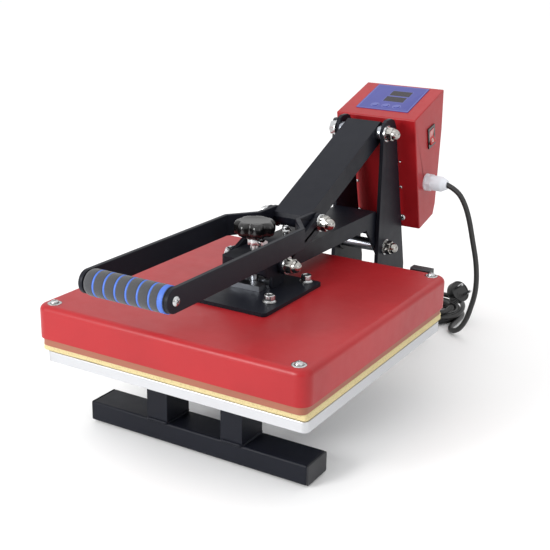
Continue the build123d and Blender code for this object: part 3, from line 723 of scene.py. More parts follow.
@dataclass
class Cluster:
    """Several closed shapes joined into one piece, such as a set of like fasteners."""

    name: str
    body: str
    finish: Finish
    points: list[Vector] = field(default_factory=list)
    faces: list[tuple[int, ...]] = field(default_factory=list)

    def take(self, shape: tuple[list[Vector], list[tuple[int, ...]]]) -> None:
        """Adds one shape."""
        points, faces = shape
        start = len(self.points)
        self.points += points
        self.faces += [tuple(start + i for i in face) for face in faces]

    def make(self, crease: float = 32.0) -> bpy.types.Object:
        """Makes the joined piece."""
        return add_object(self.name, self.points, self.faces, self.finish, self.body, crease)


def tube(path: Sequence[Vector], radius: Callable[[float], float], around: int = 14
         ) -> tuple[list[Vector], list[tuple[int, ...]]]:
    """A closed tube along a path whose radius changes along it.

    Args:
        path: the points that it follows, in metres.
        radius: the radius in metres at a share of the path from 0 to 1.
        around: how many points go round the tube.

    Returns:
        Points and faces.
    """
    points = []
    up = Vector((0, 0, 1))
    for i, p in enumerate(path):
        ahead = (path[min(i + 1, len(path) - 1)] - path[max(i - 1, 0)]).normalized()
        side = ahead.cross(up)
        side = side.normalized() if side.length > 1e-6 else Vector((1, 0, 0))
        rise = side.cross(ahead).normalized()
        r = radius(i / (len(path) - 1))
        for k in range(around):
            turn = 2 * math.pi * k / around
            points.append(p + side * (r * math.cos(turn)) + rise * (r * math.sin(turn)))
    faces = []
    for i in range(len(path) - 1):
        for k in range(around):
            a, b = i * around + k, i * around + (k + 1) % around
            faces.append((a, a + around, b + around, b))
    first, last = len(points), len(points) + 1
    points += [path[0].copy(), path[-1].copy()]
    top = (len(path) - 1) * around
    for k in range(around):
        faces.append((first, k, (k + 1) % around))
        faces.append((last, top + (k + 1) % around, top + k))
    return points, faces


# ---- view ---------------------------------------------------------------------------------


@dataclass
class Studio:
    """Camera, lights, floor and backdrop."""

    eye: tuple[float, float, float] = (694.45, -1118.57, 641.08)
    azimuth: float = 30.525
    elevation: float = 18.494
    roll: float = 1.126
    lens: float = 69.0

    def camera(self) -> bpy.types.Object:
        """Makes the camera at its fixed place."""
        az, el, roll = (math.radians(a) for a in (self.azimuth, self.elevation, self.roll))
        back = Vector((math.sin(az) * math.cos(el), -math.cos(az) * math.cos(el), math.sin(el)))
        right = Vector((math.cos(az), math.sin(az), 0.0))
        up = back.cross(right)
        side = right * math.cos(roll) + up * math.sin(roll)
        top = up * math.cos(roll) - right * math.sin(roll)
        data = bpy.data.cameras.new("camera")
        data.lens = self.lens
        data.sensor_width = 36.0
        data.shift_x = -0.0015
        data.dof.use_dof = False
        camera = bpy.data.objects.new("camera", data)
        bpy.context.scene.collection.objects.link(camera)
        turn = Matrix((side, top, back)).transposed().to_4x4()
        camera.matrix_world = Matrix.Translation(at(*self.eye)) @ turn
        bpy.context.scene.camera = camera
        return camera

    def lamp(self, name: str, place: Vector, aim: Vector, size: float, power: float,
             colour: Colour = (1.0, 1.0, 1.0)) -> None:
        """Adds one soft square lamp.

        Args:
            name: the lamp's name.
            place: where it hangs, in metres.
            aim: the point it faces, in metres.
            size: its side in metres.
            power: its power in watts.
            colour: its colour.
        """
        data = bpy.data.lights.new(name, "AREA")
        data.shape = "SQUARE"
        data.size = size
        data.energy = power
        data.color = colour
        lamp = bpy.data.objects.new(name, data)
        bpy.context.scene.collection.objects.link(lamp)
        lamp.location = place
        lamp.rotation_mode = "QUATERNION"
        lamp.rotation_quaternion = (aim - place).to_track_quat("-Z", "Y")

    def build(self) -> None:
        """Makes camera, lights, world and floor."""
        self.camera()
        aim = Vector((0.0, 0.0, 0.16))
        self.lamp("key_lamp", Vector((-0.9, -2.3, 1.05)), aim, 0.9, 46.0)
        self.lamp("side_lamp", Vector((2.4, -0.7, 0.9)), aim, 1.2, 5.0)
        self.lamp("top_lamp", Vector((-0.3, -0.1, 2.4)), aim, 1.4, 4.0)
        world = bpy.data.worlds.new("pale_room")
        world.use_nodes = True
        self.sky(world.node_tree)
        bpy.context.scene.world = world
        bpy.context.scene.view_settings.view_transform = "Standard"
        self.floor()

    @staticmethod
    def sky(tree: bpy.types.NodeTree) -> None:
        """Lights the room more from above than from its walls, so bright metal has something to show.

        Args:
            tree: the world's node tree.
        """
        coords = tree.nodes.new("ShaderNodeTexCoord")
        split = tree.nodes.new("ShaderNodeSeparateXYZ")
        ramp = tree.nodes.new("ShaderNodeValToRGB")
        background = tree.nodes["Background"]
        tree.links.new(coords.outputs["Generated"], split.inputs[0])
        tree.links.new(split.outputs["Z"], ramp.inputs[0])
        stops = ((0.0, 0.50), (0.12, 0.62), (0.45, 1.12), (1.0, 1.2))
        elements = ramp.color_ramp.elements
        while len(elements) < len(stops):
            elements.new(0.5)
        for element, (place, level) in zip(elements, stops):
            element.position = place
            element.color = (level, level, level, 1.0)
        tree.links.new(ramp.outputs[0], background.inputs["Color"])
        background.inputs["Strength"].default_value = 1.0

    @staticmethod
    def floor() -> None:
        """A wide pale floor under the feet."""
        half = 30.0
        mesh = bpy.data.meshes.new("floor")
        mesh.from_pydata([(-half, -half, 0), (half, -half, 0), (half, half, 0), (-half, half, 0)], [],
                         [(0, 1, 2, 3)])
        graph = Graph("floor_paint")
        graph.set(Base_Color=(0.93, 0.93, 0.93), Roughness=0.6)
        mesh.materials.append(graph.material)
        floor = bpy.data.objects.new("floor", mesh)
        floor.location.z = -0.0002
        bpy.context.scene.collection.objects.link(floor)


# ---- mains lead ---------------------------------------------------------------------------


@dataclass
class MainsLead:
    """The mains lead: out of the gland, down to the bench, round its coil and up into the plug."""

    diameter: float = 8.5
    route: Sequence[tuple[float, float, float]] = (
        (103.0, 409.0, 255.0), (119.0, 409.5, 249.0), (133.0, 409.0, 232.0), (143.0, 410.5, 205.0),
        (151.5, 409.5, 172.0), (159.0, 411.5, 140.0), (163.0, 411.0, 110.0), (161.0, 414.5, 82.0),
        (155.5, 414.5, 58.0), (149.0, 418.5, 37.0), (139.5, 421.5, 19.0), (127.5, 427.0, 8.0),
        (115.5, 437.0, 4.8), (111.0, 450.5, 4.5), (109.4, 465.0, 4.5), (109.2, 480.0, 4.5),
    )
    tail: Sequence[tuple[float, float, float]] = (
        (88.0, 461.5, 21.4), (96.0, 470.5, 23.8), (99.5, 480.6, 30.2),
    )
    coil_at: tuple[float, float] = (54.5, 499.0)
    inner: float = 37.25
    outer: float = 54.75
    layer: float = 8.55
    turns_per_layer: int = 2
    end_turn: float = 4.82

    def coil(self) -> list[Vector]:
        """The coil's turns: a flat spiral inwards, one outwards on top, and one inwards again."""
        points = []
        steps = 24
        step_count = int(self.end_turn * steps)
        span = self.outer - self.inner
        for i in range(1, step_count + 1):
            turns = i / steps
            level, within = divmod(turns / self.turns_per_layer, 1.0)
            level, within = (int(level), within) if within > 1e-9 or level == 0 else (int(level) - 1, 1.0)
            r = self.outer - span * within if level % 2 == 0 else self.inner + span * within
            z = 4.4 + self.layer * self._level(turns)
            turn = 2 * math.pi * turns
            wander = 0.25 * math.sin(2.3 * turn + 0.7)
            points.append(at(self.coil_at[0] + (r + wander) * math.cos(turn),
                             self.coil_at[1] + (r + wander) * math.sin(turn), z))
        return points

    def _level(self, turns: float) -> float:
        """How many layers up the lead is after a number of turns, with a ramp between layers.

        Args:
            turns: how many turns the lead has made.

        Returns:
            The height in layers.
        """
        climb = 0.09
        height = 0.0
        for change in range(1, 3):
            middle = change * self.turns_per_layer
            share = min(1.0, max(0.0, (turns - middle + climb) / (2 * climb)))
            height += share * share * (3 - 2 * share)
        return height

    def centreline(self) -> list[Vector]:
        """Every control point of the lead, from the gland to the plug."""
        return [at(*p) for p in self.route] + self.coil() + [at(*p) for p in self.tail]

    def build(self, plug: Sequence[bpy.types.Object]) -> bpy.types.Object:
        """Args:
            plug: the pieces at the end of the lead; not used.

        Returns:
            The lead.
        """
        points = self.centreline()
        curve = bpy.data.curves.new("mains_lead", "CURVE")
        curve.dimensions = "3D"
        spline = curve.splines.new("NURBS")
        spline.points.add(len(points) - 1)
        for point, place in zip(spline.points, points):
            point.co = (*place, 1.0)
            point.radius = self.diameter / 2 * MM
        spline.order_u = 3
        spline.use_endpoint_u = True
        spline.resolution_u = 5
        curve.bevel_depth = 1.0          # each point's own radius is the lead's
        curve.bevel_resolution = 5
        curve.use_fill_caps = True
        curve.materials.append(JACKET.material())
        lead = bpy.data.objects.new("mains_lead", curve)
        bpy.context.scene.collection.objects.link(lead)
        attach(lead, "base")
        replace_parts(lead, "power_cord", "cord_coil", "plug_lead")
        at(*self.route[0])
        self.length(lead)
        LOG.info("mains lead of %d points", len(points))
        return lead

    @staticmethod
    def length(lead: bpy.types.Object) -> float:
        """The lead's real length in metres, along its own centreline.

        Args:
            lead: the curve object.

        Returns:
            The length in metres.
        """
        depth = lead.data.bevel_depth
        lead.data.bevel_depth = 0.0
        line = bpy.data.meshes.new_from_object(lead)
        lead.data.bevel_depth = depth
        places = [v.co.copy() for v in line.vertices]
        bpy.data.meshes.remove(line)
        return sum((b - a).length for a, b in zip(places, places[1:]))


@dataclass
class Plug:
    """An angled two-pin plug: round face, domed back, ribbed boot."""

    centre: tuple[float, float, float] = (97.3, 506.3, 46.0)
    aim: tuple[float, float, float] = (0.74, -0.31, 0.60)
    pin_side: tuple[float, float, float] = (0.674, 0.432, -0.606)

    def frame(self) -> Matrix:
        """The plug's local frame: pins along Z, spaced along X, boot along -Y."""
        return facing(at(*self.centre), Vector(self.aim), Vector(self.pin_side))

    def build(self) -> bpy.types.Object:
        """Makes the plug's body and boot as one piece."""
        body = Cluster("plug_moulding", "base", MouldedPlastic("plug_black", (0.004, 0.004, 0.0045), 0.3))
        shell = [Ring(-11.0, 11.0), Ring(-10.6, 12.6), Ring(-9.4, 14.2), Ring(-7.0, 16.6), Ring(-4.8, 18.0),
                 Ring(-4.0, 18.4), Ring(-2.6, 18.5), Ring(-2.2, 18.1), Ring(-1.8, 18.1), Ring(-1.4, 18.5),
                 Ring(7.6, 18.5), Ring(8.6, 18.1), Ring(9.0, 17.4), Ring(9.0, 16.6), Ring(7.9, 16.2),
                 Ring(7.9, 1.0)]
        body.take(Turned(shell).shape(self.frame()))
        boot = facing(self.frame() @ Vector((0, -12.0 * MM, 0.0)),
                      self.frame().to_3x3() @ Vector((0, -1, 0)), Vector(self.aim))
        rings = [Ring(-6.0, 9.0), Ring(2.5, 8.6)]
        for i in range(5):
            h = 4.0 + 2.9 * i
            r = 8.0 - 0.42 * i
            rings += [Ring(h, r), Ring(h + 0.3, r + 0.25), Ring(h + 1.5, r + 0.2), Ring(h + 1.9, r - 0.9),
                      Ring(h + 2.6, r - 0.9)]
        rings += [Ring(18.3, 5.7), Ring(18.4, 4.4)]
        body.take(Turned(rings, 48).shape(boot))
        piece = body.make()
        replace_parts(piece, "power_plug")
        return piece


# ---- soft parts ---------------------------------------------------------------------------


@dataclass
class FoamGrip:
    """The foam sleeve on the handle's cross tube, with blue rings let into it."""

    y: float = -257.0
    z: float = 253.5
    radius: float = 16.0
    half: float = 55.5
    ring_pitch: float = 15.4
    first_ring: float = -39.8
    rings: int = 6
    ring_width: float = 2.6
    end_ring: float = 7.0

    def build(self) -> None:
        """Makes the sleeve with a shallow groove at each ring, then the rings."""
        place = facing(at(0, self.y, self.z), Vector((1, 0, 0)), Vector((0, 0, 1)))
        r = self.radius
        profile = [Ring(-self.half, r - 5.6), Ring(-self.half + 0.3, r - 3.4),
                   Ring(-self.half + 1.4, r - 1.9),
                   Ring(-self.half + 3.2, r - 0.7), Ring(-self.half + 6.0, r - 0.05)]
        for x in self.ring_places():
            w = self.ring_width / 2
            profile += [Ring(x - w - 1.2, r), Ring(x - w - 0.25, r - 0.18), Ring(x - w, r - 0.8),
                        Ring(x + w, r - 0.8), Ring(x + w + 0.25, r - 0.18), Ring(x + w + 1.2, r)]
        end = self.half - self.end_ring
        profile += [Ring(end - 1.2, r), Ring(end - 0.2, r - 0.2), Ring(end, r - 1.0),
                    Ring(self.half, r - 1.0),
                    Ring(self.half, r - 4.8)]
        sleeve = Cluster("foam_sleeve", "lever", FOAM)
        sleeve.take(Turned(profile, 96).shape(place))
        piece = sleeve.make(60.0)
        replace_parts(piece, "foam_grip")
        bands = Cluster("grip_rings", "lever", RING_BLUE)
        for x in self.ring_places():
            bands.take(self.band(place, x - self.ring_width / 2, x + self.ring_width / 2))
        bands.take(self.band(place, end, self.half - 0.1))
        bands.make(60.0)

    def ring_places(self) -> list[float]:
        """Where the narrow rings sit along the grip, in millimetres."""
        return [self.first_ring + self.ring_pitch * i for i in range(self.rings)]

    def band(self, place: Matrix, low: float, high: float) -> tuple[list[Vector], list[tuple[int, ...]]]:
        """One ring let into the foam, its outside slightly crowned.

        Args:
            place: the grip's frame, with Z along the grip.
            low: where the ring begins along the grip, in millimetres.
            high: where it ends, in millimetres.

        Returns:
            Points and faces.
        """
        r = self.radius
        rings = [Ring(low, r - 1.6), Ring(low, r - 0.25), Ring(low + 0.3, r - 0.02),
                 Ring((low + high) / 2, r),
                 Ring(high - 0.3, r - 0.02), Ring(high, r - 0.25), Ring(high, r - 1.6)]
        return Turned(rings, 96).shape(place)


@dataclass
class SpongePad:
    """The silicone sponge pad on the lower table: soft edges and a faint crown."""

    node: str = "silicone_pad"
    cells: int = 44
    corner: float = 5.0

    def build(self) -> None:
        """Makes the pad as one closed skin over the space of its solid."""
        low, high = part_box(self.node)
        centre = (low + high) / 2
        half_x, half_y = (high.x - low.x) / 2, (high.y - low.y) / 2
        corner = self.corner * MM
        outline = self.outline(half_x, half_y, corner)
        levels = [(0.0, 0.0012), (0.0012, 0.0002), (0.0030, 0.0), (0.0055, 0.0004), (0.0080, 0.0),
                  (0.0098, 0.0003), (0.0106, 0.0010), (0.0110, 0.0022)]
        points = []
        for height, inset in levels:
            for p in outline:
                shrink = Vector((p.x * (1 - inset / half_x), p.y * (1 - inset / half_y), 0))
                bulge = 0.0003 * math.sin(p.x * 61.0) * math.sin(p.y * 47.0 + 1.0)
                shrink *= 1 - max(0.0, bulge) / half_x
                points.append(Vector((centre.x + shrink.x, centre.y + shrink.y, low.z + height)))
        count = len(outline)
        faces = []
        for k in range(len(levels) - 1):
            for i in range(count):
                a, b = k * count + i, k * count + (i + 1) % count
                faces.append((a, b, b + count, a + count))
        faces.append(tuple(reversed(range(count))))
        faces.append(tuple((len(levels) - 1) * count + i for i in range(count)))
        piece = add_object("sponge_pad", points, faces, SPONGE, "base", 50.0)
        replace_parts(piece, self.node)

    def outline(self, half_x: float, half_y: float, corner: float) -> list[Vector]:
        """The pad's plan outline with round corners and points along its straight sides.

        Args:
            half_x: half the pad's width in metres.
            half_y: half the pad's depth in metres.
            corner: the corners' radius in metres.

        Returns:
            The outline's points, counter-clockwise.
        """
        arcs = [self.corner_arc(quarter, half_x, half_y, corner) for quarter in range(4)]
        points = []
        for arc, following in zip(arcs, arcs[1:] + arcs[:1]):
            points += arc
            points += [arc[-1].lerp(following[0], i / self.cells) for i in range(1, self.cells)]
        return points

    @staticmethod
    def corner_arc(quarter: int, half_x: float, half_y: float, corner: float) -> list[Vector]:
        """One rounded corner.

        Args:
            quarter: which corner, counter-clockwise from the front right.
            half_x: half the pad's width in metres.
            half_y: half the pad's depth in metres.
            corner: the corner's radius in metres.

        Returns:
            The corner's points.
        """
        sx, sy = (1, 1, -1, -1)[quarter], (-1, 1, 1, -1)[quarter]
        middle = Vector((sx * (half_x - corner), sy * (half_y - corner), 0))
        start = quarter * math.pi / 2 - math.pi / 2
        turns = [start + i * math.pi / 16 for i in range(9)]
        return [middle + Vector((math.cos(a), math.sin(a), 0)) * corner for a in turns]


# ---- hardware -----------------------------------------------------------------------------


@dataclass
class PressureKnob:
    """The seven-lobed pressure knob with a dished top and rounded edges."""

    y: float = 3.5
    bottom: float = 251.0
    top: float = 274.5

    def build(self) -> None:
        """Makes the knob over the space of its solid."""
        place = facing(at(0, self.y, 0), Vector((0, 0, 1)), Vector((1, 0, 0)))
        star = Outline.LOBES
        z0, z1 = self.bottom, self.top
        rings = [Ring(z0, 10.5), Ring(z0, 12.0), Ring(z0 + 4.4, 12.4), Ring(z0 + 4.6, 21.0, star, 2.6),
                 Ring(z0 + 5.0, 24.2, star, 4.0), Ring(z0 + 6.2, 26.6, star, 4.8),
                 Ring(z0 + 8.0, 27.7, star, 5.2), Ring(z0 + 11.0, 28.0, star, 5.4),
                 Ring(z0 + 16.0, 28.0, star, 5.4), Ring(z0 + 19.0, 27.4, star, 5.2),
                 Ring(z0 + 21.2, 26.0, star, 4.6), Ring(z0 + 22.6, 24.2, star, 3.6),
                 Ring(z0 + 23.4, 22.2, star, 2.0), Ring(z1, 20.4), Ring(z1, 18.9), Ring(z1 - 0.7, 16.6),
                 Ring(z1 - 1.4, 9.0), Ring(z1 - 1.6, 2.0)]
        knob = Cluster("lobed_knob", "pressure_screw", KNOB_BLACK)
        knob.take(Turned(rings, 168).shape(place))
        piece = knob.make(70.0)
        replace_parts(piece, "pressure_knob")


class Drive(Enum):
    """The recess in a screw's head."""

    CROSS = "cross"


@dataclass
class Hardware:
    """Nuts, bolt heads, washers and screws that stand for their plain solids."""

    flats: float = 19.0
    plate: float = 40.5
    washer: float = 2.5

    def cap_nut(self, place: Matrix) -> tuple[list[Vector], list[tuple[int, ...]]]:
        """A domed cap nut: chamfered hexagon, neck and dome, seated at the local origin.

        Args:
            place: the piece's seat, with Z out of the surface.

        Returns:
            Points and faces.
        """
        hexa, across = Outline.HEX, self.flats
        rings = [Ring(0.0, 9.0), Ring(0.0, 9.6, hexa, across), Ring(0.8, 10.9, hexa, across),
                 Ring(8.2, 10.9, hexa, across), Ring(9.2, 9.9, hexa, across), Ring(9.5, 9.2),
                 Ring(9.6, 8.3),
                 Ring(11.0, 8.2)]
        for i in range(1, 12):
            lift = math.pi / 2 * i / 12
            rings.append(Ring(11.0 + 8.6 * math.sin(lift), 8.2 * math.cos(lift)))
        rings.append(Ring(19.58, 0.3))
        return Turned(rings).shape(place)

    def hex_head(self, place: Matrix, height: float = 7.5) -> tuple[list[Vector], list[tuple[int, ...]]]:
        """A bolt head: washer face, chamfered hexagon and a shallow dish on top.

        Args:
            place: the piece's seat, with Z out of the surface.
            height: the height in millimetres.

        Returns:
            Points and faces.
        """
        hexa, across = Outline.HEX, self.flats
        rings = [Ring(0.0, 8.0), Ring(0.0, 9.2), Ring(0.5, 9.3), Ring(0.5, 10.9, hexa, across),
                 Ring(height - 1.3, 10.9, hexa, across), Ring(height - 0.2, 9.2, hexa, across),
                 Ring(height, 8.6), Ring(height, 7.4), Ring(height - 0.5, 6.6), Ring(height - 0.6, 1.0)]
        return Turned(rings).shape(place)

    def flat_washer(self, place: Matrix, radius: float = 12.0, thick: float = 2.5
                    ) -> tuple[list[Vector], list[tuple[int, ...]]]:
        """A stamped washer with a rolled edge."""
        rings = [Ring(0.0, 6.2), Ring(0.0, radius - 0.2), Ring(0.25, radius), Ring(thick - 0.6, radius),
                 Ring(thick - 0.15, radius - 0.35), Ring(thick, radius - 0.9), Ring(thick, 6.2)]
        return Turned(rings).shape(place)

    def pan_screw(self, place: Matrix, radius: float, height: float, drive: Drive
                  ) -> tuple[list[Vector], list[tuple[int, ...]]]:
        """A pan or button head with a recess.

        Args:
            place: the head's seat, with Z out of the surface.
            radius: the head's radius in millimetres.
            height: the head's height in millimetres.
            drive: the kind of recess.

        Returns:
            Points and faces.
        """
        rings = [Ring(0.0, radius * 0.6), Ring(0.0, radius * 0.97), Ring(height * 0.12, radius),
                 Ring(height * 0.45, radius * 0.96), Ring(height * 0.75, radius * 0.82),
                 Ring(height * 0.93, radius * 0.62), Ring(height, radius * 0.55)]
        if drive is Drive.CROSS:
            wide = radius * 0.2
            rings += [Ring(height, radius * 0.5, Outline.CROSS, wide),
                      Ring(height * 0.4, radius * 0.36, Outline.CROSS, wide * 0.6),
                      Ring(height * 0.25, radius * 0.06)]
        return Turned(rings, 96).shape(place)

    def flange_bolt(self, place: Matrix, flange: float, across: float, height: float
                    ) -> tuple[list[Vector], list[tuple[int, ...]]]:
        """A flanged hexagon bolt head with a dished top.

        Args:
            place: the piece's seat, with Z out of the surface.
            flange: the flange's radius in millimetres.
            across: the width across flats in millimetres.
            height: the height in millimetres.

        Returns:
            Points and faces.
        """
        hexa = Outline.HEX
        r = across / 2 / math.cos(math.pi / 6)
        seat = height * 0.16
        rings = [Ring(0.0, flange * 0.7), Ring(0.0, flange - 0.2), Ring(0.3, flange),
                 Ring(seat - 0.2, flange),
                 Ring(seat, flange - 0.3), Ring(seat, flange - 0.9), Ring(seat + 0.7, flange - 0.8),
                 Ring(seat + 1.2, flange - 1.4), Ring(seat + 1.5, across / 2 + 0.7),
                 Ring(seat + 1.7, r, hexa, across),
                 Ring(height - 0.9, r, hexa, across), Ring(height - 0.12, across / 2 * 0.97, hexa, across),
                 Ring(height, across / 2 * 0.88), Ring(height, across / 2 * 0.68),
                 Ring(height - 0.7, across / 2 * 0.55), Ring(height - 0.8, 0.3)]
        return Turned(rings).shape(place)

    def pivots(self, name: str, body: str, places: Sequence[tuple[float, float]],
               nodes: Sequence[str]) -> None:
        """Cap nuts on the right and hexagon heads on the left of a set of pivots.

        Args:
            name: the start of the pieces' names.
            body: the body that they ride on.
            places: each pivot as y and z in millimetres.
            nodes: the nodes that the nuts stand for.
        """
        out = self.plate + self.washer
        nuts = Cluster(name + "_cap_nut_set", body, CAP_NUT)
        heads = Cluster(name + "_head_set", body, ZINC)
        for i, (y, z) in enumerate(places):
            lean = math.radians(17.0 + 23.0 * i)
            hint = Vector((0, math.cos(lean), math.sin(lean)))
            nuts.take(self.cap_nut(facing(at(out, y, z), Vector((1, 0, 0)), hint)))
            heads.take(self.hex_head(facing(at(-out, y, z), Vector((-1, 0, 0)), hint)))
        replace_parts(nuts.make(), *nodes)
        heads.make()

    def washers(self, name: str, body: str, places: Sequence[tuple[float, float]]) -> None:
        """Bright washers under the nuts and heads, drawn just over their solids.

        Args:
            name: the start of the pieces' names.
            body: the body that they ride on.
            places: each pivot as y and z in millimetres.
        """
        rings = Cluster(name, body, ZINC)
        for y, z in places:
            for side in (-1, 1):
                seat = facing(at(side * (self.plate + 0.02), y, z), Vector((side, 0, 0)), Vector((0, 0, 1)))
                rings.take(self.flat_washer(seat, 12.1, self.washer + 0.02))
        rings.make()

    def set_screws(self, name: str, body: str, seats: Sequence[Matrix], radius: float, height: float,
                   drive: Drive) -> bpy.types.Object:
        """A group of like screws at the given seats.

        Args:
            name: the start of the pieces' names.
            body: the body that they ride on.
            seats: each screw's seat, with Z out of the surface.
            radius: the heads' radius in millimetres.
            height: the height in millimetres.
            drive: the kind of recess.

        Returns:
            The new object.
        """
        group = Cluster(name, body, ZINC)
        for seat in seats:
            group.take(self.pan_screw(seat, radius, height, drive))
        return group.make()


@dataclass
class WeldBeads:
    """Weld beads where the posts meet the foot bars and the table rails."""

    radius: float = 2.6
    pitch: float = 3.4
    height: float = 30.4

    def bead(self, start: Vector, end: Vector) -> tuple[list[Vector], list[tuple[int, ...]]]:
        """One rippled bead between two points in metres.

        Args:
            start: one end, in metres.
            end: the other end, in metres.

        Returns:
            Points and faces.
        """
        count = max(12, int((end - start).length / MM / self.pitch * 6))
        path = [start.lerp(end, i / count) for i in range(count + 1)]
        ripples = (end - start).length / MM / self.pitch

        def swell(share: float) -> float:
            """Ripples along the bead, tapering at its ends."""
            taper = min(1.0, 8 * min(share, 1 - share) + 0.35)
            return self.radius * MM * taper * (0.86 + 0.14 * abs(math.sin(math.pi * ripples * share)))

        return tube(path, swell, 10)

    def build(self) -> None:
        """Beads round the foot of each front and rear post."""
        beads = Cluster("frame_weld_beads", "base", BLACK)
        for y_mid in (-114.0, 376.0):
            for side in (-1, 1):
                x0, x1 = side * 40.6, side * 72.6
                y0, y1 = y_mid - 24.0, y_mid + 24.0
                z = self.height
                for y in (y0, y1):
                    beads.take(self.bead(at(x0, y, z), at(x1, y, z)))
                for x in (x0, x1):
                    beads.take(self.bead(at(x, y0 + 1, z), at(x, y1 - 1, z)))
        beads.make(50.0)


# ---- dressing of the solids ---------------------------------------------------------------


@dataclass
class Dress:
    """Gives the solids their finishes and eases their sharp edges."""

    finishes: Mapping[str, Finish]
    eased: Mapping[str, float]

    def apply(self) -> None:
        """Sets each node's finish and, where named, a small round on its edges."""
        for node, finish in self.finishes.items():
            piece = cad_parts[node]
            piece.data.materials.clear()
            piece.data.materials.append(finish.material())
            width = self.eased.get(node)
            if width is not None:
                self.ease(piece, width)
            LOG.info("%s wears %s", node, finish.name)

    @staticmethod
    def ease(piece: bpy.types.Object, width: float) -> None:
        """Rounds the sharp edges by a width in millimetres.

        Args:
            piece: the object to ease.
            width: the round's width in millimetres.
        """
        weld = piece.modifiers.new("weld", "WELD")
        weld.merge_threshold = 0.00001
        bevel = piece.modifiers.new("ease", "BEVEL")
        bevel.width = width * MM
        bevel.segments = 3
        bevel.limit_method = "ANGLE"
        bevel.angle_limit = math.radians(38.0)
        bevel.use_clamp_overlap = True
        bevel.harden_normals = False


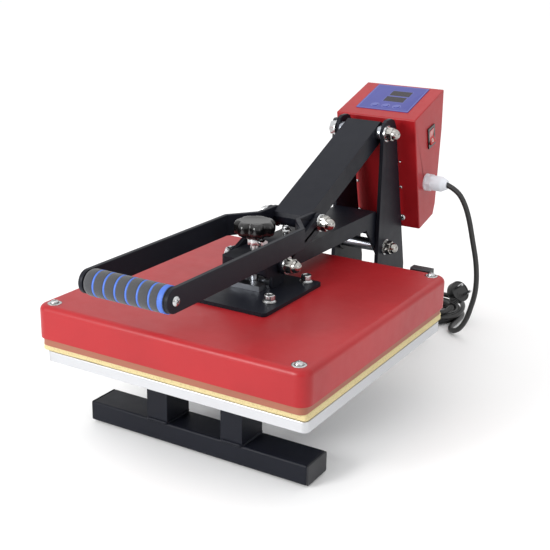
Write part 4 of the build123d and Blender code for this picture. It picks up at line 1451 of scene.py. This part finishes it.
@dataclass
class HeatPress:
    """The whole machine: where its finishes go and which pieces are built afresh."""

    top_pivot: tuple[float, float] = (307.0, 345.0)
    arm_pivot: tuple[float, float] = (322.0, 165.0)
    knee: tuple[float, float] = (107.0, 253.5)
    arm_pin: tuple[float, float] = (17.0, 217.0)
    box_front_top: tuple[float, float] = (350.5, 361.0)
    box_front_low: tuple[float, float] = (394.0, 181.0)
    box_back_top: tuple[float, float] = (458.0, 395.0)
    switch_at: tuple[float, float] = (416.5, 327.0)
    hardware: Hardware = field(default_factory=Hardware)

    def top_slope(self) -> float:
        """How far the control box's top leans back, in radians."""
        (y0, z0), (y1, z1) = self.box_front_top, self.box_back_top
        return math.atan2(z1 - z0, y1 - y0)

    def front_slope(self) -> float:
        """How far the control box's front leans, in radians."""
        (y0, z0), (y1, z1) = self.box_front_top, self.box_front_low
        return math.atan2(y1 - y0, z0 - z1)

    def panel_film(self) -> PanelFilm:
        """The membrane panel's print, laid out on the box's top."""
        y0, z0 = self.box_front_top
        origin = at(0, y0, z0)
        windows = ((7.5, 81.0, 34.0, 17.0), (6.0, 60.5, 34.0, 17.0))
        keys = ((-17.5, 37.0), (1.0, 37.0), (19.5, 37.0))
        return PanelFilm(
            "membrane_print", tuple(origin), self.top_slope(),
            tuple(tuple(v * MM for v in w) for w in windows), tuple((x * MM, v * MM) for x, v in keys),
            (44.5 * MM, 43.0 * MM), (0.5 * MM, 65.0 * MM), 5.6 * MM)

    def rocker_finish(self) -> RockerMark:
        """The rocker's red plastic with its two marks."""
        middle = at(0, *self.switch_at)
        return RockerMark("rocker_red", (middle.y, middle.z), self.front_slope())

    def dress(self) -> None:
        """Finishes every solid that shows as it is."""
        black = ("foot_bars", "table_posts", "table_rails", "uprights", "cross_plates", "arm_channel",
                 "base_plate", "guide_fork", "link_channel", "handle_bars", "toggle_plates")
        red = ("box_shell", "box_back", "platen_cover")
        bright = ("axle_bolts", "axle_washers", "axle_cap_nuts", "box_screws", "plug_pins", "stop_bolt",
                  "cover_screws", "plate_bolts", "pressure_rod", "rod_collar", "grip_screws", "toggle_bolts",
                  "toggle_washers", "toggle_cap_nuts")
        steel = ("link_bushes", "arm_hub", "pressure_nut_block", "heating_element", "head_standoffs",
                 "rod_keepers", "link_tubes", "grip_core", "limit_switch_blade")
        finishes: dict[str, Finish] = {node: BLACK for node in black}
        finishes.update({node: RED for node in red})
        finishes.update({node: ZINC for node in bright})
        finishes.update({node: STEEL for node in steel})
        finishes.update({
            "foot_caps": BLACK_PLASTIC, "foot_pads": FOOT_RUBBER, "lower_table": TABLE,
            "silicone_pad": SPONGE, "foam_grip": FOAM, "membrane_panel": self.panel_film(),
            "control_board": BOARD, "switch_body": KNOB_BLACK, "cable_gland": NYLON,
            "limit_switch": BLACK_PLASTIC, "power_cord": JACKET, "cord_coil": JACKET, "plug_lead": JACKET,
            "power_plug": JACKET, "heat_platen": COATED, "insulation": WOOL, "thermostat": BRASS,
            "heater_inlet": BLACK_PLASTIC, "pressure_knob": KNOB_BLACK, "power_rocker": self.rocker_finish(),
            "mode_key": KEY_FILM, "down_key": KEY_FILM, "up_key": KEY_FILM,
        })
        eased = {
            "foot_bars": 0.5, "foot_caps": 0.7, "table_posts": 0.9, "table_rails": 0.9, "uprights": 0.8,
            "cross_plates": 0.6, "arm_channel": 1.0, "base_plate": 0.8, "guide_fork": 0.7, "link_channel": 1.0,
            "handle_bars": 0.9, "toggle_plates": 0.8, "box_shell": 0.7, "box_back": 0.6, "rod_keepers": 0.8,
            "lower_table": 0.5, "cable_gland": 0.6, "limit_switch": 0.6, "heater_inlet": 0.8,
            "switch_body": 0.6, "power_rocker": 0.5, "rod_collar": 0.5, "plug_pins": 0.2,
            "mode_key": 0.35, "down_key": 0.35, "up_key": 0.35, "membrane_panel": 0.2, "link_bushes": 0.4,
        }
        Dress(finishes, eased).apply()

    def fasteners(self) -> None:
        """Builds the shaped nuts, heads, washers and screws."""
        hw = self.hardware
        frame_pivots = (self.top_pivot, self.arm_pivot)
        toggle_pivots = (self.arm_pin, self.knee)
        hw.pivots("axle", "base", frame_pivots, ("axle_cap_nuts",))
        hw.pivots("toggle", "toggle", toggle_pivots, ("toggle_cap_nuts",))
        hw.washers("axle_washer_set", "base", frame_pivots)
        hw.washers("toggle_washer_set", "toggle", toggle_pivots)
        up = Vector((0, 0, 1))
        bolts = Cluster("flange_bolt_set", "heat_head", ZINC)
        for sx in (-1, 1):
            for y in (-45.0, 50.0):
                bolts.take(hw.flange_bolt(facing(at(sx * 52.6, y, 186.5), up, Vector((1, 0.3 * y / 45, 0))),
                                          9.0, 13.0, 10.4))
        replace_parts(bolts.make(), "plate_bolts")
        cups = Cluster("cup_washer_set", "heat_head", ZINC)
        seats = []
        for sx in (-1, 1):
            for y in (-187.0, 182.0):
                seats.append(facing(at(sx * 177.0, y, 182.4), up, Vector((1, 0.4 * sx, 0))))
                base = facing(at(sx * 177.0, y, 181.5), up, Vector((1, 0, 0)))
                cups.take(Turned([Ring(0.0, 5.0), Ring(0.0, 9.0), Ring(0.5, 8.9), Ring(0.95, 7.6), Ring(0.9, 6.2),
                                  Ring(0.6, 5.4), Ring(0.6, 1.0)]).shape(base))
        screws = hw.set_screws("cover_screw_set", "heat_head", seats, 5.5, 3.1, Drive.CROSS)
        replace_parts(screws, "cover_screws")
        cups.make()
        ends = [facing(at(side * 62.0, -257.0, 253.5), Vector((side, 0, 0)), Vector((0, 1, 0.4)))
                for side in (-1, 1)]
        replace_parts(hw.set_screws("grip_end_screws", "lever", ends, 6.0, 3.6, Drive.CROSS), "grip_screws")
        out = Vector((0, -math.cos(self.front_slope()), -math.sin(self.front_slope())))
        for name, x, z, radius, height in (("box_pan_screws", 38.5, 197.0, 5.2, 3.0),
                                           ("box_small_screws", 38.0, 249.0, 2.4, 1.4)):
            seats = [facing(at(side * x, self.box_front(z), z), out, Vector((1, 0, 0.3)))
                     for side in (-1, 1)]
            piece = hw.set_screws(name, "base", seats, radius, height, Drive.CROSS)
            if name == "box_pan_screws":
                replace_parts(piece, "box_screws")

    def box_front(self, z: float) -> float:
        """The y of the control box's front at height z, in millimetres."""
        (y0, z0), (y1, z1) = self.box_front_top, self.box_front_low
        return y0 + (z0 - z) * (y1 - y0) / (z0 - z1)

    def stop_bolt(self) -> None:
        """The stop bolt's flanged head, its threaded shank and its lock nut."""
        up = Vector((0, 0, 1))
        piece = Cluster("stop_bolt_set", "press_arm", ZINC)
        seat = facing(at(0, 84.0, 240.5), up, Vector((1, 0.5, 0)))
        piece.take(self.hardware.flange_bolt(seat, 8.0, 11.0, 7.1))
        rings = []
        for i in range(22):
            z = 214.0 + 1.25 * i
            rings += [Ring(z, 3.45), Ring(z + 0.62, 4.0)]
        rings.append(Ring(240.6, 3.6))
        piece.take(Turned(rings, 40).shape(facing(at(0, 84.0, 0), up, Vector((1, 0, 0)))))
        hexa = Outline.HEX
        nut = [Ring(217.4, 5.8), Ring(217.4, 6.2, hexa, 13.0), Ring(218.2, 7.5, hexa, 13.0),
               Ring(223.0, 7.5, hexa, 13.0), Ring(223.8, 6.2, hexa, 13.0), Ring(223.8, 4.0)]
        piece.take(Turned(nut).shape(facing(at(0, 84.0, 0), up, Vector((1, 0, 0)))))
        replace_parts(piece.make(), "stop_bolt")

    def build(self) -> None:
        """Builds the lead first, then the soft parts, the hardware and the finishes."""
        plug = Plug().build()
        MainsLead().build([plug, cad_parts["plug_pins"]])
        FoamGrip().build()
        SpongePad().build()
        PressureKnob().build()
        self.fasteners()
        self.stop_bolt()
        WeldBeads().build()
        self.dress()


def main() -> None:
    """Builds the studio and the machine."""
    logging.basicConfig(level=logging.INFO, format="%(message)s")
    Studio().build()
    HeatPress().build()


if __name__ == "__main__":
    main()
